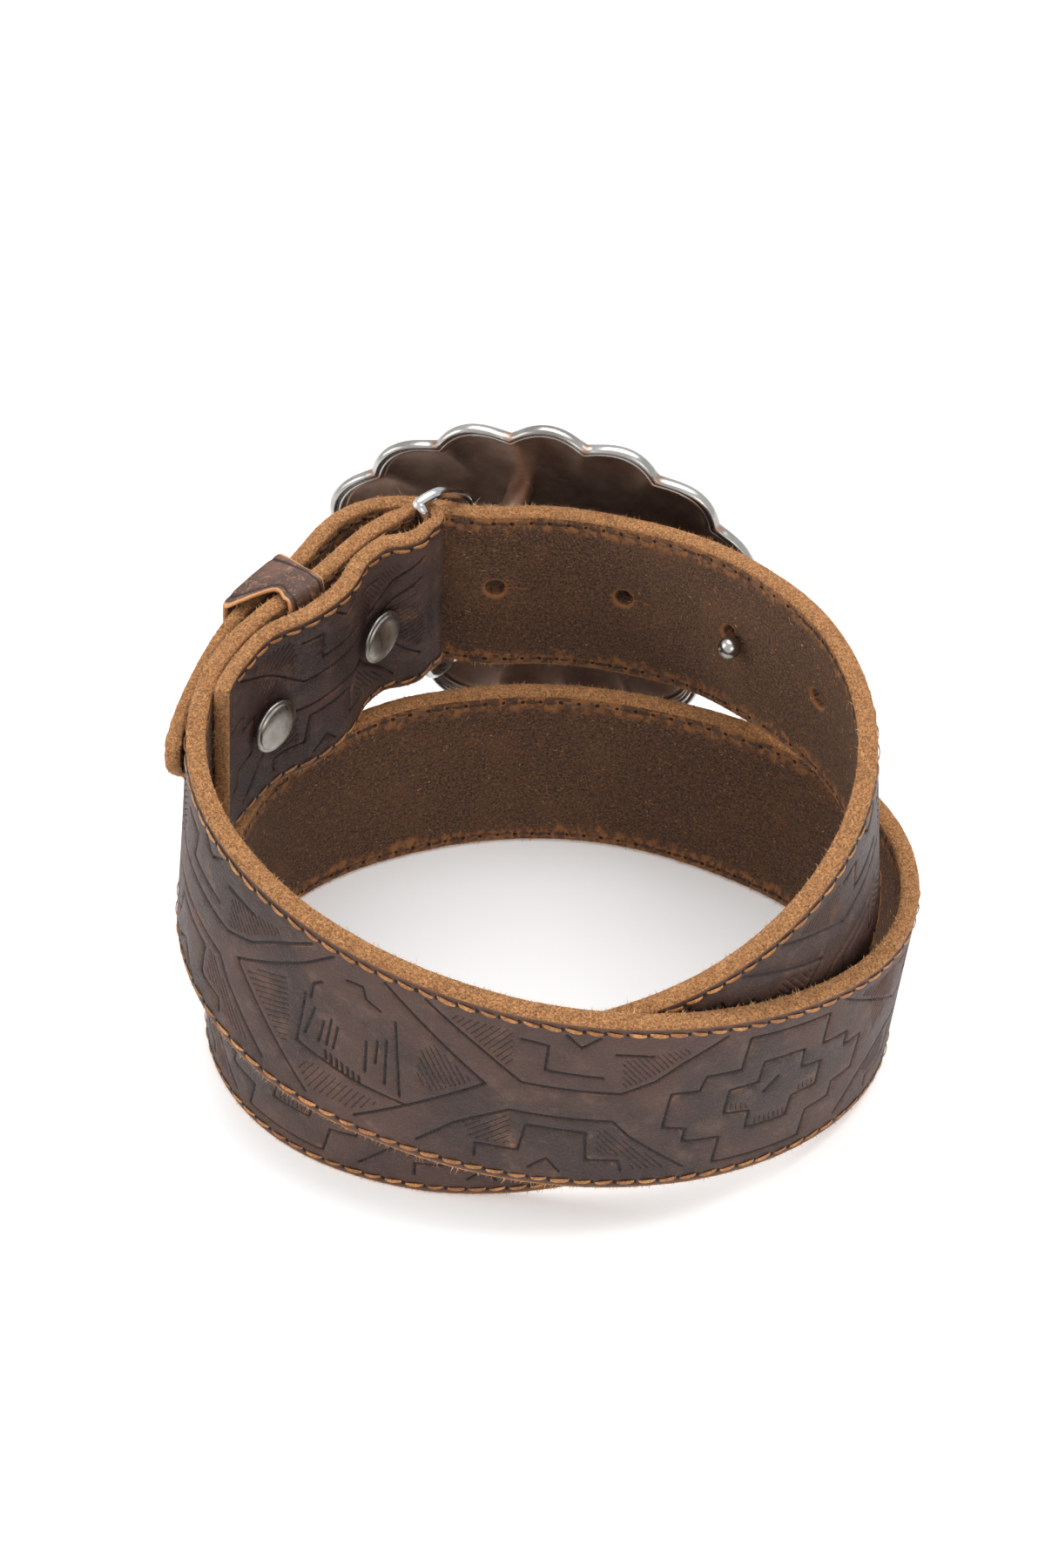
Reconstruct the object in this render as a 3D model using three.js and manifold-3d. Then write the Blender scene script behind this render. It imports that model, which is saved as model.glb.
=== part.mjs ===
// Embossed leather belt with a scalloped oval buckle, fastened and stood on its edge.
// The strap is wound into about two turns: the lower turn stands on the floor and carries the upper one.
// Millimetres, +Z up. The origin is on the floor under the middle of the belt.

import * as THREE from 'three';
import { mergeVertices } from 'three/addons/utils/BufferGeometryUtils.js';
import Module from 'manifold-3d';

const wasm = await Module();
wasm.setup();

// Strap leather
const STRAP_WIDTH = 38;
const STRAP_THICKNESS = 3.3;
const SKIVED_THICKNESS = 2.2;
const SKIVE_TURN = 9;
const EDGE_BEVEL = 0.6;
const STATION_STEP = 3.6;
const CLEARANCE = 0.3;

// Middle of the loop, seen from above
const LOOP_X = 2;
const LOOP_Y = -42;
const FLOOR_SETTLE = 0.2;

// Middle of the whole belt's footprint, which becomes the origin
const FOOTPRINT_X = 4.463;
const FOOTPRINT_Y = -43.497;

// The strap's path from the buckle's bail, outward round the floor turn, and on to the free tip.
// turn: degrees anticlockwise seen from above. radius: loop middle to the middle of the leather.
// lift: floor to bottom edge. lean: degrees that the top edge leans outward.
const PATH = [
  { turn: 112.5, radius: 42.9, lift: 40.4, lean: -4.0 },
  { turn: 135, radius: 42.8, lift: 40.3, lean: -4.5 },
  { turn: 157.5, radius: 43.5, lift: 40.1, lean: -3.3 },
  { turn: 180, radius: 53.8, lift: 38.2, lean: -3.8 },
  { turn: 202.5, radius: 61.9, lift: 31.5, lean: -9.5 },
  { turn: 225, radius: 61.2, lift: 23.4, lean: -13.0 },
  { turn: 247.5, radius: 58.4, lift: 17.4, lean: -12.0 },
  { turn: 270, radius: 58.2, lift: 12.6, lean: -10.0 },
  { turn: 292.5, radius: 61.0, lift: 8.6, lean: -7.6 },
  { turn: 315, radius: 65.2, lift: 3.8, lean: -3.7 },
  { turn: 337.5, radius: 68.0, lift: 0.5, lean: 1.7 },
  { turn: 360, radius: 60.3, lift: 0, lean: 5.0 },
  { turn: 382.5, radius: 45.5, lift: 0, lean: 5.4 },
  { turn: 405, radius: 35.6, lift: 0, lean: 4.4 },
  { turn: 427.5, radius: 30.9, lift: 0, lean: 4.1 },
  { turn: 450, radius: 29.5, lift: 0, lean: 4.4 },
  { turn: 472.5, radius: 30.9, lift: 0, lean: 4.2 },
  { turn: 495, radius: 35.7, lift: 0, lean: 4.4 },
  { turn: 517.5, radius: 43.7, lift: 0, lean: 0.3 },
  { turn: 540, radius: 53.4, lift: 0, lean: -5.3 },
  { turn: 562.5, radius: 60.3, lift: 0, lean: -6.9 },
  { turn: 585, radius: 60.2, lift: 0, lean: -7.1 },
  { turn: 607.5, radius: 56.1, lift: 0, lean: -7.1 },
  { turn: 630, radius: 54.0, lift: 2.8, lean: -7.3 },
  { turn: 652.5, radius: 56.4, lift: 9.6, lean: -6.1 },
  { turn: 675, radius: 59.9, lift: 20.1, lean: -4.7 },
  { turn: 697.5, radius: 60.4, lift: 32.9, lean: -6.2 },
  { turn: 720, radius: 52.7, lift: 41.1, lean: -5.9 },
  { turn: 742.5, radius: 44.7, lift: 41.0, lean: -3.2 },
  { turn: 765, radius: 43.8, lift: 36.4, lean: -2.2 },
  { turn: 787.5, radius: 44.3, lift: 32.8, lean: -1.1 },
  { turn: 810, radius: 44.1, lift: 32.6, lean: 0 },
  { turn: 825, radius: 44.4, lift: 33.9, lean: -0.3 },
  { turn: 840, radius: 50.2, lift: 35.7, lean: -1.2 },
  { turn: 855, radius: 51.1, lift: 37.4, lean: -2.5 },
  { turn: 870, radius: 49.0, lift: 38.0, lean: -3.0 },
  { turn: 885, radius: 52.8, lift: 36.7, lean: -2.8 },
  { turn: 900, radius: 58.0, lift: 34.1, lean: -4.3 },
  { turn: 915, radius: 64.5, lift: 31.4, lean: -7.6 },
  { turn: 930, radius: 67.5, lift: 29.5, lean: -10.4 },
];

// The end folded back inside the first layer, and the distance between the two layers' middles
const FOLD_TURN = 120;
const FLAP_END_TURN = 188;
const FLAP_LEAST_LIFT = 38.4;
const FLAP = [
  { turn: 120, apart: 5.2, thickness: 2.2 },
  { turn: 125.5, apart: 6.4, thickness: 3.1 },
  { turn: 130, apart: 5.8, thickness: 3.2 },
  { turn: 134.5, apart: 4.1, thickness: 3.2 },
  { turn: 139, apart: 3.7, thickness: 3.1 },
  { turn: 144.5, apart: 3.7, thickness: 3.1 },
  { turn: 148.5, apart: 4.5, thickness: 3.2 },
  { turn: 153, apart: 5.4, thickness: 3.2 },
  { turn: 159, apart: 5.7, thickness: 3.2 },
  { turn: 165, apart: 5.2, thickness: 3.1 },
  { turn: 169, apart: 4.0, thickness: 2.9 },
  { turn: 173, apart: 3.45, thickness: 2.8 },
  { turn: 178, apart: 3.45, thickness: 2.8 },
  { turn: 190, apart: 3.65, thickness: 2.7 },
];

// Free tip: the leather thins, and the lower corner is cut away. Heights are above the bottom edge
const TIP_THINNING_START = 872;
const TIP_THINNING_TURNS = 16;
const TIP_THICKNESS = 2.6;
const TIP_START_TURN = 898;
const TIP = [
  { turn: 898, bottom: 0, top: 38 },
  { turn: 900, bottom: 3, top: 38 },
  { turn: 903, bottom: 13, top: 38 },
  { turn: 906.5, bottom: 21, top: 38 },
  { turn: 909.5, bottom: 25, top: 38 },
  { turn: 912, bottom: 29, top: 38 },
  { turn: 914, bottom: 33, top: 37.2 },
];

// Holes along the middle of the strap; the hook goes through the third
const HOLE_DIAMETER = 4;
const HOLE_HEIGHT = 20;
const HOLE_TURNS = [819.5, 787, 754, 725.3];

// Snap fasteners through both layers of the folded-back end
const SNAPS = [
  { turn: 173.6, height: 18.3 },
  { turn: 141.5, height: 19 },
];
const SNAP_CAP_DIAMETER = 10.2;
const SNAP_CAP_HEIGHT = 1.6;
const SNAP_SHANK_DIAMETER = 3.4;
const SNAP_HOLE_DIAMETER = 4.2;
const SNAP_POST_DIAMETER = 5.4;
const SNAP_POST_HEIGHT = 0.45;

// Keeper loop round the tip layer and the first layer
const KEEPER_THICKNESS = 1.3;
const KEEPER_UNDERSIDE_THICKNESS = 1.2;
const KEEPER_UNDERSIDE_REACH = 1.5;
const KEEPER_TIP_TURNS = [871.2, 886.8];
const KEEPER_INNER_TURNS = [155.3, 164.5];
const KEEPER_CORNER = 2;
const KEEPER_STEPS = 6;

// Buckle plate: a scalloped oval dome with a raised rim, hollow towards the strap
const PLATE_CENTRE = new THREE.Vector3(3.2, 6.8, 49.2);
const PLATE_AZIMUTH = -12.9;
const PLATE_TILT = 5.5;
const PLATE_HALF_LENGTH = 43.4;
const PLATE_HALF_HEIGHT = 33.3;
const PLATE_BEND = 0.11;
const LOBES = 16;
const LOBE_STEPS = 5;
const LOBE_SAG = 3;
const CUSP_INSET = 2;
const FIRST_CUSP = 79;
const DOME_DEPTH = 6;
const SHELL_THICKNESS = 1.6;
const RIM_START = 0.94;
const RIM_HALF_THICKNESS = 1.1;

// Hook: a wire peg with a ball, soldered to the back of the plate
const HOOK_DIAMETER = 2.4;
const HOOK_BALL_DIAMETER = 4.2;
const HOOK_PASSAGE_DIAMETER = 4;
const HOOK_ROOT = new THREE.Vector3(34.5, 8.3, -1.4);
const HOOK_ROUTE = [
  new THREE.Vector3(39.6, -4.0, 57.6),
  new THREE.Vector3(40.0, -9.0, 57.6),
  new THREE.Vector3(39.2, -12.5, 57.9),
  new THREE.Vector3(38.0, -17.5, 58.6),
  new THREE.Vector3(36.8, -23.0, 59.4),
];

// Bail: a wire loop whose upright bar lies in the fold and whose feet sit in two cast lugs
const BAIL_DIAMETER = 2.1;
const FOLD_RADIUS = 2.6;
const LUG_DIAMETER = 4.8;
const LUG_BORE = 2.8;
const LUGS = [
  { u: -5, v: 16, top: 5 },
  { u: -5, v: -16, top: 2.2 },
];
const BAIL_BAR_HEIGHTS = [40, 43, 60, 75, 78.2];
const BAIL_TOP = [
  new THREE.Vector3(-18.3, -7.6, 79.3),
  new THREE.Vector3(-17.0, -6.4, 79.7),
  new THREE.Vector3(-15.4, -5.0, 79.6),
  new THREE.Vector3(-13.9, -2.4, 78.1),
  new THREE.Vector3(-12.5, 0.5, 75.5),
  new THREE.Vector3(-11.2, 2.9, 73.2),
  new THREE.Vector3(-10.3, 4.8, 70.8),
  new THREE.Vector3(-9.8, 6.3, 68.0),
];
const BAIL_BOTTOM = [
  new THREE.Vector3(-18.6, -5.4, 38.2),
  new THREE.Vector3(-17.8, -3.2, 34.2),
  new THREE.Vector3(-16.4, 0.0, 31.5),
  new THREE.Vector3(-14.8, 2.6, 30.8),
  new THREE.Vector3(-12.8, 4.9, 31.2),
];

const radians = THREE.MathUtils.degToRad;
const lerp = THREE.MathUtils.lerp;

// Natural cubic spline through one column of a table with a turn column
function curveThrough(rows, column) {
  const count = rows.length;
  const bend = new Array(count).fill(0);
  const upper = new Array(count).fill(0);
  for (let i = 1; i < count - 1; i += 1) {
    const before = rows[i].turn - rows[i - 1].turn;
    const after = rows[i + 1].turn - rows[i].turn;
    const rise = (rows[i + 1][column] - rows[i][column]) / after;
    const fall = (rows[i][column] - rows[i - 1][column]) / before;
    const pivot = 2 * (before + after) - before * upper[i - 1];
    upper[i] = after / pivot;
    bend[i] = (6 * (rise - fall) - before * bend[i - 1]) / pivot;
  }
  for (let i = count - 2; i > 0; i -= 1) bend[i] -= upper[i] * bend[i + 1];
  return (turn) => {
    let i = 0;
    while (i < count - 2 && turn > rows[i + 1].turn) i += 1;
    const span = rows[i + 1].turn - rows[i].turn;
    const b = (turn - rows[i].turn) / span;
    const a = 1 - b;
    const line = a * rows[i][column] + b * rows[i + 1][column];
    return line + ((a ** 3 - a) * bend[i] + (b ** 3 - b) * bend[i + 1]) * span * span / 6;
  };
}

// Straight lines between the rows of a table with a turn column
function linesThrough(rows, column) {
  return (turn) => {
    let i = 0;
    while (i < rows.length - 2 && turn > rows[i + 1].turn) i += 1;
    const share = (turn - rows[i].turn) / (rows[i + 1].turn - rows[i].turn);
    return lerp(rows[i][column], rows[i + 1][column], THREE.MathUtils.clamp(share, 0, 1));
  };
}

const radiusAt = curveThrough(PATH, 'radius');
const liftAt = curveThrough(PATH, 'lift');
const leanAt = curveThrough(PATH, 'lean');
const apartAt = curveThrough(FLAP, 'apart');
const tipBottomAt = linesThrough(TIP, 'bottom');
const tipTopAt = linesThrough(TIP, 'top');
const flapThicknessAt = linesThrough(FLAP, 'thickness');

// Thickness thins towards the fold, where the leather is skived, and towards the tip
function thicknessAt(turn) {
  const fromFold = THREE.MathUtils.smoothstep(turn - FOLD_TURN, 0, SKIVE_TURN);
  const toTip = THREE.MathUtils.smoothstep(turn - TIP_THINNING_START, 0, TIP_THINNING_TURNS);
  return lerp(lerp(SKIVED_THICKNESS, STRAP_THICKNESS, fromFold), TIP_THICKNESS, toTip);
}

function lift(turn) {
  return Math.max(0, liftAt(turn) - FLOOR_SETTLE);
}

// One upright cut of the strap: middle, direction of its grain side, sideways shift for each mm of height
function station(x, y, grain, shift, turn) {
  const onTip = turn > TIP_START_TURN;
  return {
    x, y, grain, shift,
    lift: lift(turn),
    thickness: thicknessAt(turn),
    bottom: onTip ? tipBottomAt(turn) : 0,
    top: onTip ? tipTopAt(turn) : STRAP_WIDTH,
  };
}

function pathStation(turn) {
  const angle = radians(turn);
  const radius = radiusAt(turn);
  const slope = (radiusAt(turn + 0.05) - radiusAt(turn - 0.05)) / radians(0.1);
  const along = new THREE.Vector2(
    slope * Math.cos(angle) - radius * Math.sin(angle),
    slope * Math.sin(angle) + radius * Math.cos(angle),
  ).normalize();
  const grain = new THREE.Vector2(along.y, -along.x);
  const shift = grain.clone().multiplyScalar(Math.tan(radians(leanAt(turn))));
  const x = LOOP_X + radius * Math.cos(angle);
  const y = LOOP_Y + radius * Math.sin(angle);
  return station(x, y, grain, shift, turn);
}

function flapPoint(turn) {
  const outer = pathStation(turn);
  return new THREE.Vector2(outer.x, outer.y).addScaledVector(outer.grain, -apartAt(turn));
}

// The folded-back layer runs the other way, so its grain side faces the middle of the loop
function flapStation(turn) {
  const middle = flapPoint(turn);
  const along = flapPoint(turn - 0.05).sub(flapPoint(turn + 0.05)).normalize();
  const grain = new THREE.Vector2(along.y, -along.x);
  const cut = station(middle.x, middle.y, grain, pathStation(turn).shift, turn);
  cut.lift = Math.max(cut.lift, FLAP_LEAST_LIFT);
  cut.thickness = flapThicknessAt(turn);
  return cut;
}

// Point of the strap: out along the grain side from its middle, and height above its bottom edge
function pointOn(cut, out, height) {
  const raised = height - STRAP_WIDTH / 2;
  return new THREE.Vector3(
    cut.x + cut.grain.x * out + cut.shift.x * raised,
    cut.y + cut.grain.y * out + cut.shift.y * raised,
    cut.lift + height,
  );
}

// Middle of the bail's upright bar at mid height of the strap
function barCut() {
  const cut = pathStation(FOLD_TURN);
  cut.x -= cut.grain.x * FOLD_RADIUS;
  cut.y -= cut.grain.y * FOLD_RADIUS;
  return cut;
}

function foldStations() {
  const bar = barCut();
  const along = new THREE.Vector2(-bar.grain.y, bar.grain.x);
  const steps = 8;
  const cuts = [];
  for (let i = 1; i < steps; i += 1) {
    const angle = Math.PI * i / steps;
    const grain = new THREE.Vector2()
      .addScaledVector(bar.grain, -Math.cos(angle))
      .addScaledVector(along, -Math.sin(angle));
    const x = bar.x + grain.x * FOLD_RADIUS;
    const y = bar.y + grain.y * FOLD_RADIUS;
    cuts.push(station(x, y, grain, bar.shift, FOLD_TURN));
  }
  return cuts;
}

// Turns between two ends at even steps along the strap
function evenTurns(from, to, step) {
  const fine = 0.5;
  const turns = [from];
  let previous = pathStation(from);
  let walked = 0;
  for (let turn = from + fine; turn < to - fine; turn += fine) {
    const next = pathStation(turn);
    walked += Math.hypot(next.x - previous.x, next.y - previous.y);
    previous = next;
    if (walked >= step) {
      turns.push(turn);
      walked = 0;
    }
  }
  turns.push(to);
  return turns;
}

function strapStations() {
  const flapTurns = evenTurns(FOLD_TURN, FLAP_END_TURN, STATION_STEP * 0.8).reverse();
  const mainTurns = evenTurns(FOLD_TURN, TIP_START_TURN, STATION_STEP);
  const tipTurns = TIP.slice(1).map((row) => row.turn);
  return [
    ...flapTurns.map(flapStation),
    ...foldStations(),
    ...mainTurns.map(pathStation),
    ...tipTurns.map(pathStation),
  ];
}

// Eight-sided section with eased edges
function sectionOutline(cut) {
  const half = cut.thickness / 2;
  const { bottom, top } = cut;
  const bevel = EDGE_BEVEL;
  return [
    [-half, bottom + bevel], [-half, top - bevel], [-half + bevel, top], [half - bevel, top],
    [half, top - bevel], [half, bottom + bevel], [half - bevel, bottom], [-half + bevel, bottom],
  ].map(([out, height]) => pointOn(cut, out, height));
}

// Closed body from a row of equal outlines, capped at both ends
function sweep(outlines) {
  const sides = outlines[0].length;
  const positions = [];
  const faces = [];
  outlines.forEach((outline) => outline.forEach((point) => positions.push(point.x, point.y, point.z)));
  for (let i = 0; i < outlines.length - 1; i += 1) {
    for (let j = 0; j < sides; j += 1) {
      const a = i * sides + j;
      const b = i * sides + (j + 1) % sides;
      faces.push(a, b, a + sides, b, b + sides, a + sides);
    }
  }
  const last = (outlines.length - 1) * sides;
  for (let j = 1; j < sides - 1; j += 1) {
    faces.push(0, j + 1, j);
    faces.push(last, last + j, last + j + 1);
  }
  const geometry = new THREE.BufferGeometry();
  geometry.setAttribute('position', new THREE.Float32BufferAttribute(positions, 3));
  geometry.setIndex(faces);
  return geometry;
}

function toSolid(geometry) {
  const bare = geometry.clone();
  bare.deleteAttribute('normal');
  bare.deleteAttribute('uv');
  const merged = mergeVertices(bare, 1e-5);
  const solid = new wasm.Manifold(new wasm.Mesh({
    numProp: 3,
    vertProperties: new Float32Array(merged.attributes.position.array),
    triVerts: new Uint32Array(merged.index.array),
  }));
  return solid;
}

function toGeometry(solid) {
  const mesh = solid.getMesh();
  const geometry = new THREE.BufferGeometry();
  geometry.setAttribute('position', new THREE.BufferAttribute(new Float32Array(mesh.vertProperties), 3));
  geometry.setIndex(new THREE.BufferAttribute(new Uint32Array(mesh.triVerts), 1));
  geometry.computeVertexNormals();
  return geometry;
}

// Round bar between two points
function bar(from, to, diameter, sides) {
  const length = from.distanceTo(to);
  const geometry = new THREE.CylinderGeometry(diameter / 2, diameter / 2, length, sides);
  const direction = to.clone().sub(from).normalize();
  geometry.applyQuaternion(new THREE.Quaternion().setFromUnitVectors(new THREE.Vector3(0, 1, 0), direction));
  const middle = from.clone().add(to).multiplyScalar(0.5);
  return geometry.translate(middle.x, middle.y, middle.z);
}

// Round wire along a smooth route
function wire(route, diameter, steps, sides) {
  const section = new THREE.Shape();
  for (let i = 0; i < sides; i += 1) {
    const angle = Math.PI * 2 * i / sides;
    const x = diameter / 2 * Math.cos(angle);
    const y = diameter / 2 * Math.sin(angle);
    if (i === 0) section.moveTo(x, y);
    else section.lineTo(x, y);
  }
  section.closePath();
  const extrudePath = new THREE.CatmullRomCurve3(route, false, 'centripetal');
  return new THREE.ExtrudeGeometry(section, { steps, extrudePath, curveSegments: 1 });
}

function acrossGrain(cut) {
  return new THREE.Vector3(cut.grain.x, cut.grain.y, 0);
}

function strapGeometry() {
  let solid = toSolid(sweep(strapStations().map(sectionOutline)));
  HOLE_TURNS.forEach((turn) => {
    const cut = pathStation(turn);
    const inner = pointOn(cut, -STRAP_THICKNESS, HOLE_HEIGHT);
    const outer = pointOn(cut, STRAP_THICKNESS, HOLE_HEIGHT);
    solid = solid.subtract(toSolid(bar(inner, outer, HOLE_DIAMETER, 12)));
  });
  const [passageEnd, passageStart] = [HOOK_ROUTE.at(-1), HOOK_ROUTE.at(-3)];
  solid = solid.subtract(toSolid(bar(passageStart, passageEnd, HOOK_PASSAGE_DIAMETER, 12)));
  SNAPS.forEach(({ turn, height }) => {
    const cut = pathStation(turn);
    const inner = pointOn(cut, -apartAt(turn) - STRAP_THICKNESS, height);
    const outer = pointOn(cut, STRAP_THICKNESS, height);
    solid = solid.subtract(toSolid(bar(inner, outer, SNAP_HOLE_DIAMETER, 12)));
  });
  return toGeometry(solid);
}

// How far from the middle of the first layer a flat disc clears a curved face of the leather
function discSeat({ turn, height }, diameter, stationAt, direction) {
  const centre = pointOn(pathStation(turn), 0, height);
  const reach = diameter / 2;
  let seat = 0;
  for (let near = turn - 10; near <= turn + 10; near += 0.5) {
    for (let share = -1; share <= 1; share += 0.25) {
      const layer = stationAt(near);
      const face = pointOn(layer, layer.thickness / 2, height + share * reach);
      const offset = face.sub(centre);
      const depth = offset.dot(direction);
      const sideways = Math.sqrt(offset.lengthSq() - depth * depth);
      if (sideways <= reach + 0.1) seat = Math.max(seat, depth);
    }
  }
  return seat + CLEARANCE;
}

// Domed cap with its shank, axis along +Y, seat at y = 0
function snapCapGeometry(shankLength) {
  const rim = SNAP_CAP_DIAMETER / 2;
  const shank = SNAP_SHANK_DIAMETER / 2;
  const profile = [
    new THREE.Vector2(0, -shankLength),
    new THREE.Vector2(shank, -shankLength),
    new THREE.Vector2(shank, 0),
    new THREE.Vector2(rim - 0.4, 0),
    new THREE.Vector2(rim, 0.4),
  ];
  const rings = 5;
  for (let i = 1; i < rings; i += 1) {
    const share = i / rings;
    const height = lerp(0.7, SNAP_CAP_HEIGHT, Math.sin(share * Math.PI / 2));
    profile.push(new THREE.Vector2(rim * Math.cos(share * Math.PI / 2) ** 0.8, height));
  }
  profile.push(new THREE.Vector2(0, SNAP_CAP_HEIGHT));
  return new THREE.LatheGeometry(profile, 24);
}

function snapMeshes(snap, index) {
  const cut = pathStation(snap.turn);
  const outward = acrossGrain(cut);
  const inward = outward.clone().negate();
  const up = new THREE.Vector3(0, 1, 0);
  const seat = discSeat(snap, SNAP_CAP_DIAMETER, flapStation, inward);
  const shankLength = seat + STRAP_THICKNESS / 2;
  const cap = new THREE.Mesh(snapCapGeometry(shankLength), brushedSteel);
  cap.name = `snap_cap_${index + 1}`;
  cap.quaternion.setFromUnitVectors(up, inward);
  cap.position.copy(pointOn(cut, -seat, snap.height));
  const post = new THREE.Mesh(
    new THREE.CylinderGeometry(SNAP_POST_DIAMETER / 2, SNAP_POST_DIAMETER / 2, SNAP_POST_HEIGHT, 24),
    brushedSteel,
  );
  post.name = `snap_post_${index + 1}`;
  post.quaternion.setFromUnitVectors(up, outward);
  const postSeat = discSeat(snap, SNAP_POST_DIAMETER, pathStation, outward);
  post.position.copy(pointOn(cut, postSeat + SNAP_POST_HEIGHT / 2, snap.height));
  return [cap, post];
}

// The keeper's ring at one place across its width: share 0 is nearest the buckle
function keeperOutline(share, isOuter) {
  const tip = pathStation(lerp(...KEEPER_TIP_TURNS, share));
  const first = pathStation(lerp(...KEEPER_INNER_TURNS, share));
  const side = CLEARANCE + (isOuter ? KEEPER_THICKNESS : 0);
  const under = CLEARANCE + (isOuter ? KEEPER_UNDERSIDE_THICKNESS : 0);
  const corner = isOuter ? KEEPER_CORNER : KEEPER_CORNER / 3;
  const half = STRAP_THICKNESS / 2;
  const reach = half + side;
  const low = -under;
  const high = STRAP_WIDTH + side;
  return [
    pointOn(tip, reach, low + corner), pointOn(tip, reach, high - corner),
    pointOn(tip, reach - corner, high), pointOn(first, half, high),
    pointOn(first, -reach + corner, high), pointOn(first, -reach, high - corner),
    pointOn(first, -reach, low + corner), pointOn(first, -reach + corner, low),
    pointOn(first, half + KEEPER_UNDERSIDE_REACH, low), pointOn(tip, -half, low),
    pointOn(tip, reach - corner, low),
  ];
}

function keeperGeometry() {
  const outer = [];
  const inner = [];
  for (let i = 0; i <= KEEPER_STEPS; i += 1) {
    outer.push(keeperOutline(i / KEEPER_STEPS, true));
    inner.push(keeperOutline(i / KEEPER_STEPS, false));
  }
  const sides = outer[0].length;
  const positions = [...outer, ...inner].flat().flatMap((point) => [point.x, point.y, point.z]);
  const inside = outer.length * sides;
  const faces = [];
  for (let j = 0; j < sides; j += 1) {
    const next = (j + 1) % sides;
    for (let i = 0; i < KEEPER_STEPS; i += 1) {
      const a = i * sides + j;
      const b = i * sides + next;
      faces.push(a, a + sides, b, b, a + sides, b + sides);
      faces.push(inside + a, inside + b, inside + a + sides, inside + b, inside + b + sides, inside + a + sides);
    }
    const end = KEEPER_STEPS * sides;
    faces.push(j, next, inside + j, next, inside + next, inside + j);
    faces.push(end + j, inside + end + j, end + next, end + next, inside + end + j, inside + end + next);
  }
  const geometry = new THREE.BufferGeometry();
  geometry.setAttribute('position', new THREE.Float32BufferAttribute(positions, 3));
  geometry.setIndex(faces);
  geometry.computeVertexNormals();
  return geometry;
}

// The plate's own frame: x along its length, y up its height, z towards the strap
function plateFrame() {
  const azimuth = radians(PLATE_AZIMUTH);
  const tilt = radians(PLATE_TILT);
  const long = new THREE.Vector3(Math.cos(azimuth), Math.sin(azimuth), 0);
  const outward = new THREE.Vector3(-Math.sin(azimuth), Math.cos(azimuth), 0);
  const high = outward.clone().multiplyScalar(Math.sin(tilt)).add(new THREE.Vector3(0, 0, Math.cos(tilt)));
  const toStrap = long.clone().cross(high);
  return new THREE.Matrix4().makeBasis(long, high, toStrap).setPosition(PLATE_CENTRE);
}

// Angles that divide the ellipse of the cusps into equal lengths
function cuspPoints() {
  const halfLength = PLATE_HALF_LENGTH - CUSP_INSET;
  const halfHeight = PLATE_HALF_HEIGHT - CUSP_INSET;
  const ellipse = new THREE.EllipseCurve(0, 0, halfLength, halfHeight, 0, Math.PI * 2);
  ellipse.arcLengthDivisions = 720;
  const lengths = ellipse.getLengths();
  const start = lengths[FIRST_CUSP * 2];
  const whole = lengths.at(-1);
  const cusps = [];
  for (let i = 0; i < LOBES; i += 1) cusps.push(ellipse.getPointAt((start / whole + i / LOBES) % 1));
  return cusps;
}

// Outline of round lobes between the cusps
function plateOutline() {
  const cusps = cuspPoints();
  const outline = [];
  cusps.forEach((from, i) => {
    const to = cusps[(i + 1) % LOBES];
    const middle = from.clone().add(to).multiplyScalar(0.5);
    const outward = middle.clone().normalize();
    for (let step = 0; step < LOBE_STEPS; step += 1) {
      const share = step / LOBE_STEPS;
      const rise = LOBE_SAG * 4 * share * (1 - share);
      outline.push(from.clone().lerp(to, share).addScaledVector(outward, rise));
    }
  });
  return outline;
}

// Rings of the plate from the middle of its back, over the rim, to the middle of its front
function plateRings() {
  const dome = (share) => -DOME_DEPTH * (1 - (share / RIM_START) ** 2) ** 0.6;
  const rings = [];
  [0.25, 0.5, 0.7, 0.85, 0.93].forEach((share) => rings.push({ share, z: dome(share) }));
  rings.push({ share: 0.95, z: RIM_HALF_THICKNESS });
  rings.push({ share: 0.985, z: RIM_HALF_THICKNESS });
  rings.push({ share: 1, z: 0.3 });
  rings.push({ share: 1, z: -0.5 });
  rings.push({ share: 0.98, z: -RIM_HALF_THICKNESS - 0.4 });
  [0.93, 0.85, 0.7, 0.5, 0.25].forEach((share) => rings.push({ share, z: dome(share) - SHELL_THICKNESS }));
  return rings;
}

function plateShellGeometry() {
  const outline = plateOutline();
  const sides = outline.length;
  const bend = (x) => PLATE_BEND * x * x / 100;
  const oval = (point) => {
    const reach = Math.hypot(point.x / PLATE_HALF_LENGTH, point.y / PLATE_HALF_HEIGHT);
    return point.clone().divideScalar(reach).multiplyScalar(0.985);
  };
  const rings = plateRings();
  const positions = [0, 0, -DOME_DEPTH];
  rings.forEach(({ share, z }) => {
    const scalloped = THREE.MathUtils.smoothstep(share, 0.5, 0.93);
    outline.forEach((point) => {
      const shaped = oval(point).lerp(point, scalloped).multiplyScalar(share);
      positions.push(shaped.x, shaped.y, z + bend(shaped.x));
    });
  });
  positions.push(0, 0, -DOME_DEPTH - SHELL_THICKNESS);
  const faces = [];
  const last = rings.length * sides + 1;
  for (let j = 0; j < sides; j += 1) {
    const next = (j + 1) % sides;
    faces.push(0, 1 + j, 1 + next);
    for (let i = 0; i < rings.length - 1; i += 1) {
      const a = 1 + i * sides + j;
      const b = 1 + i * sides + next;
      faces.push(a, a + sides, b, b, a + sides, b + sides);
    }
    faces.push(last, last - sides + next, last - sides + j);
  }
  const geometry = new THREE.BufferGeometry();
  geometry.setAttribute('position', new THREE.Float32BufferAttribute(positions, 3));
  geometry.setIndex(faces);
  return geometry;
}

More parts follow.
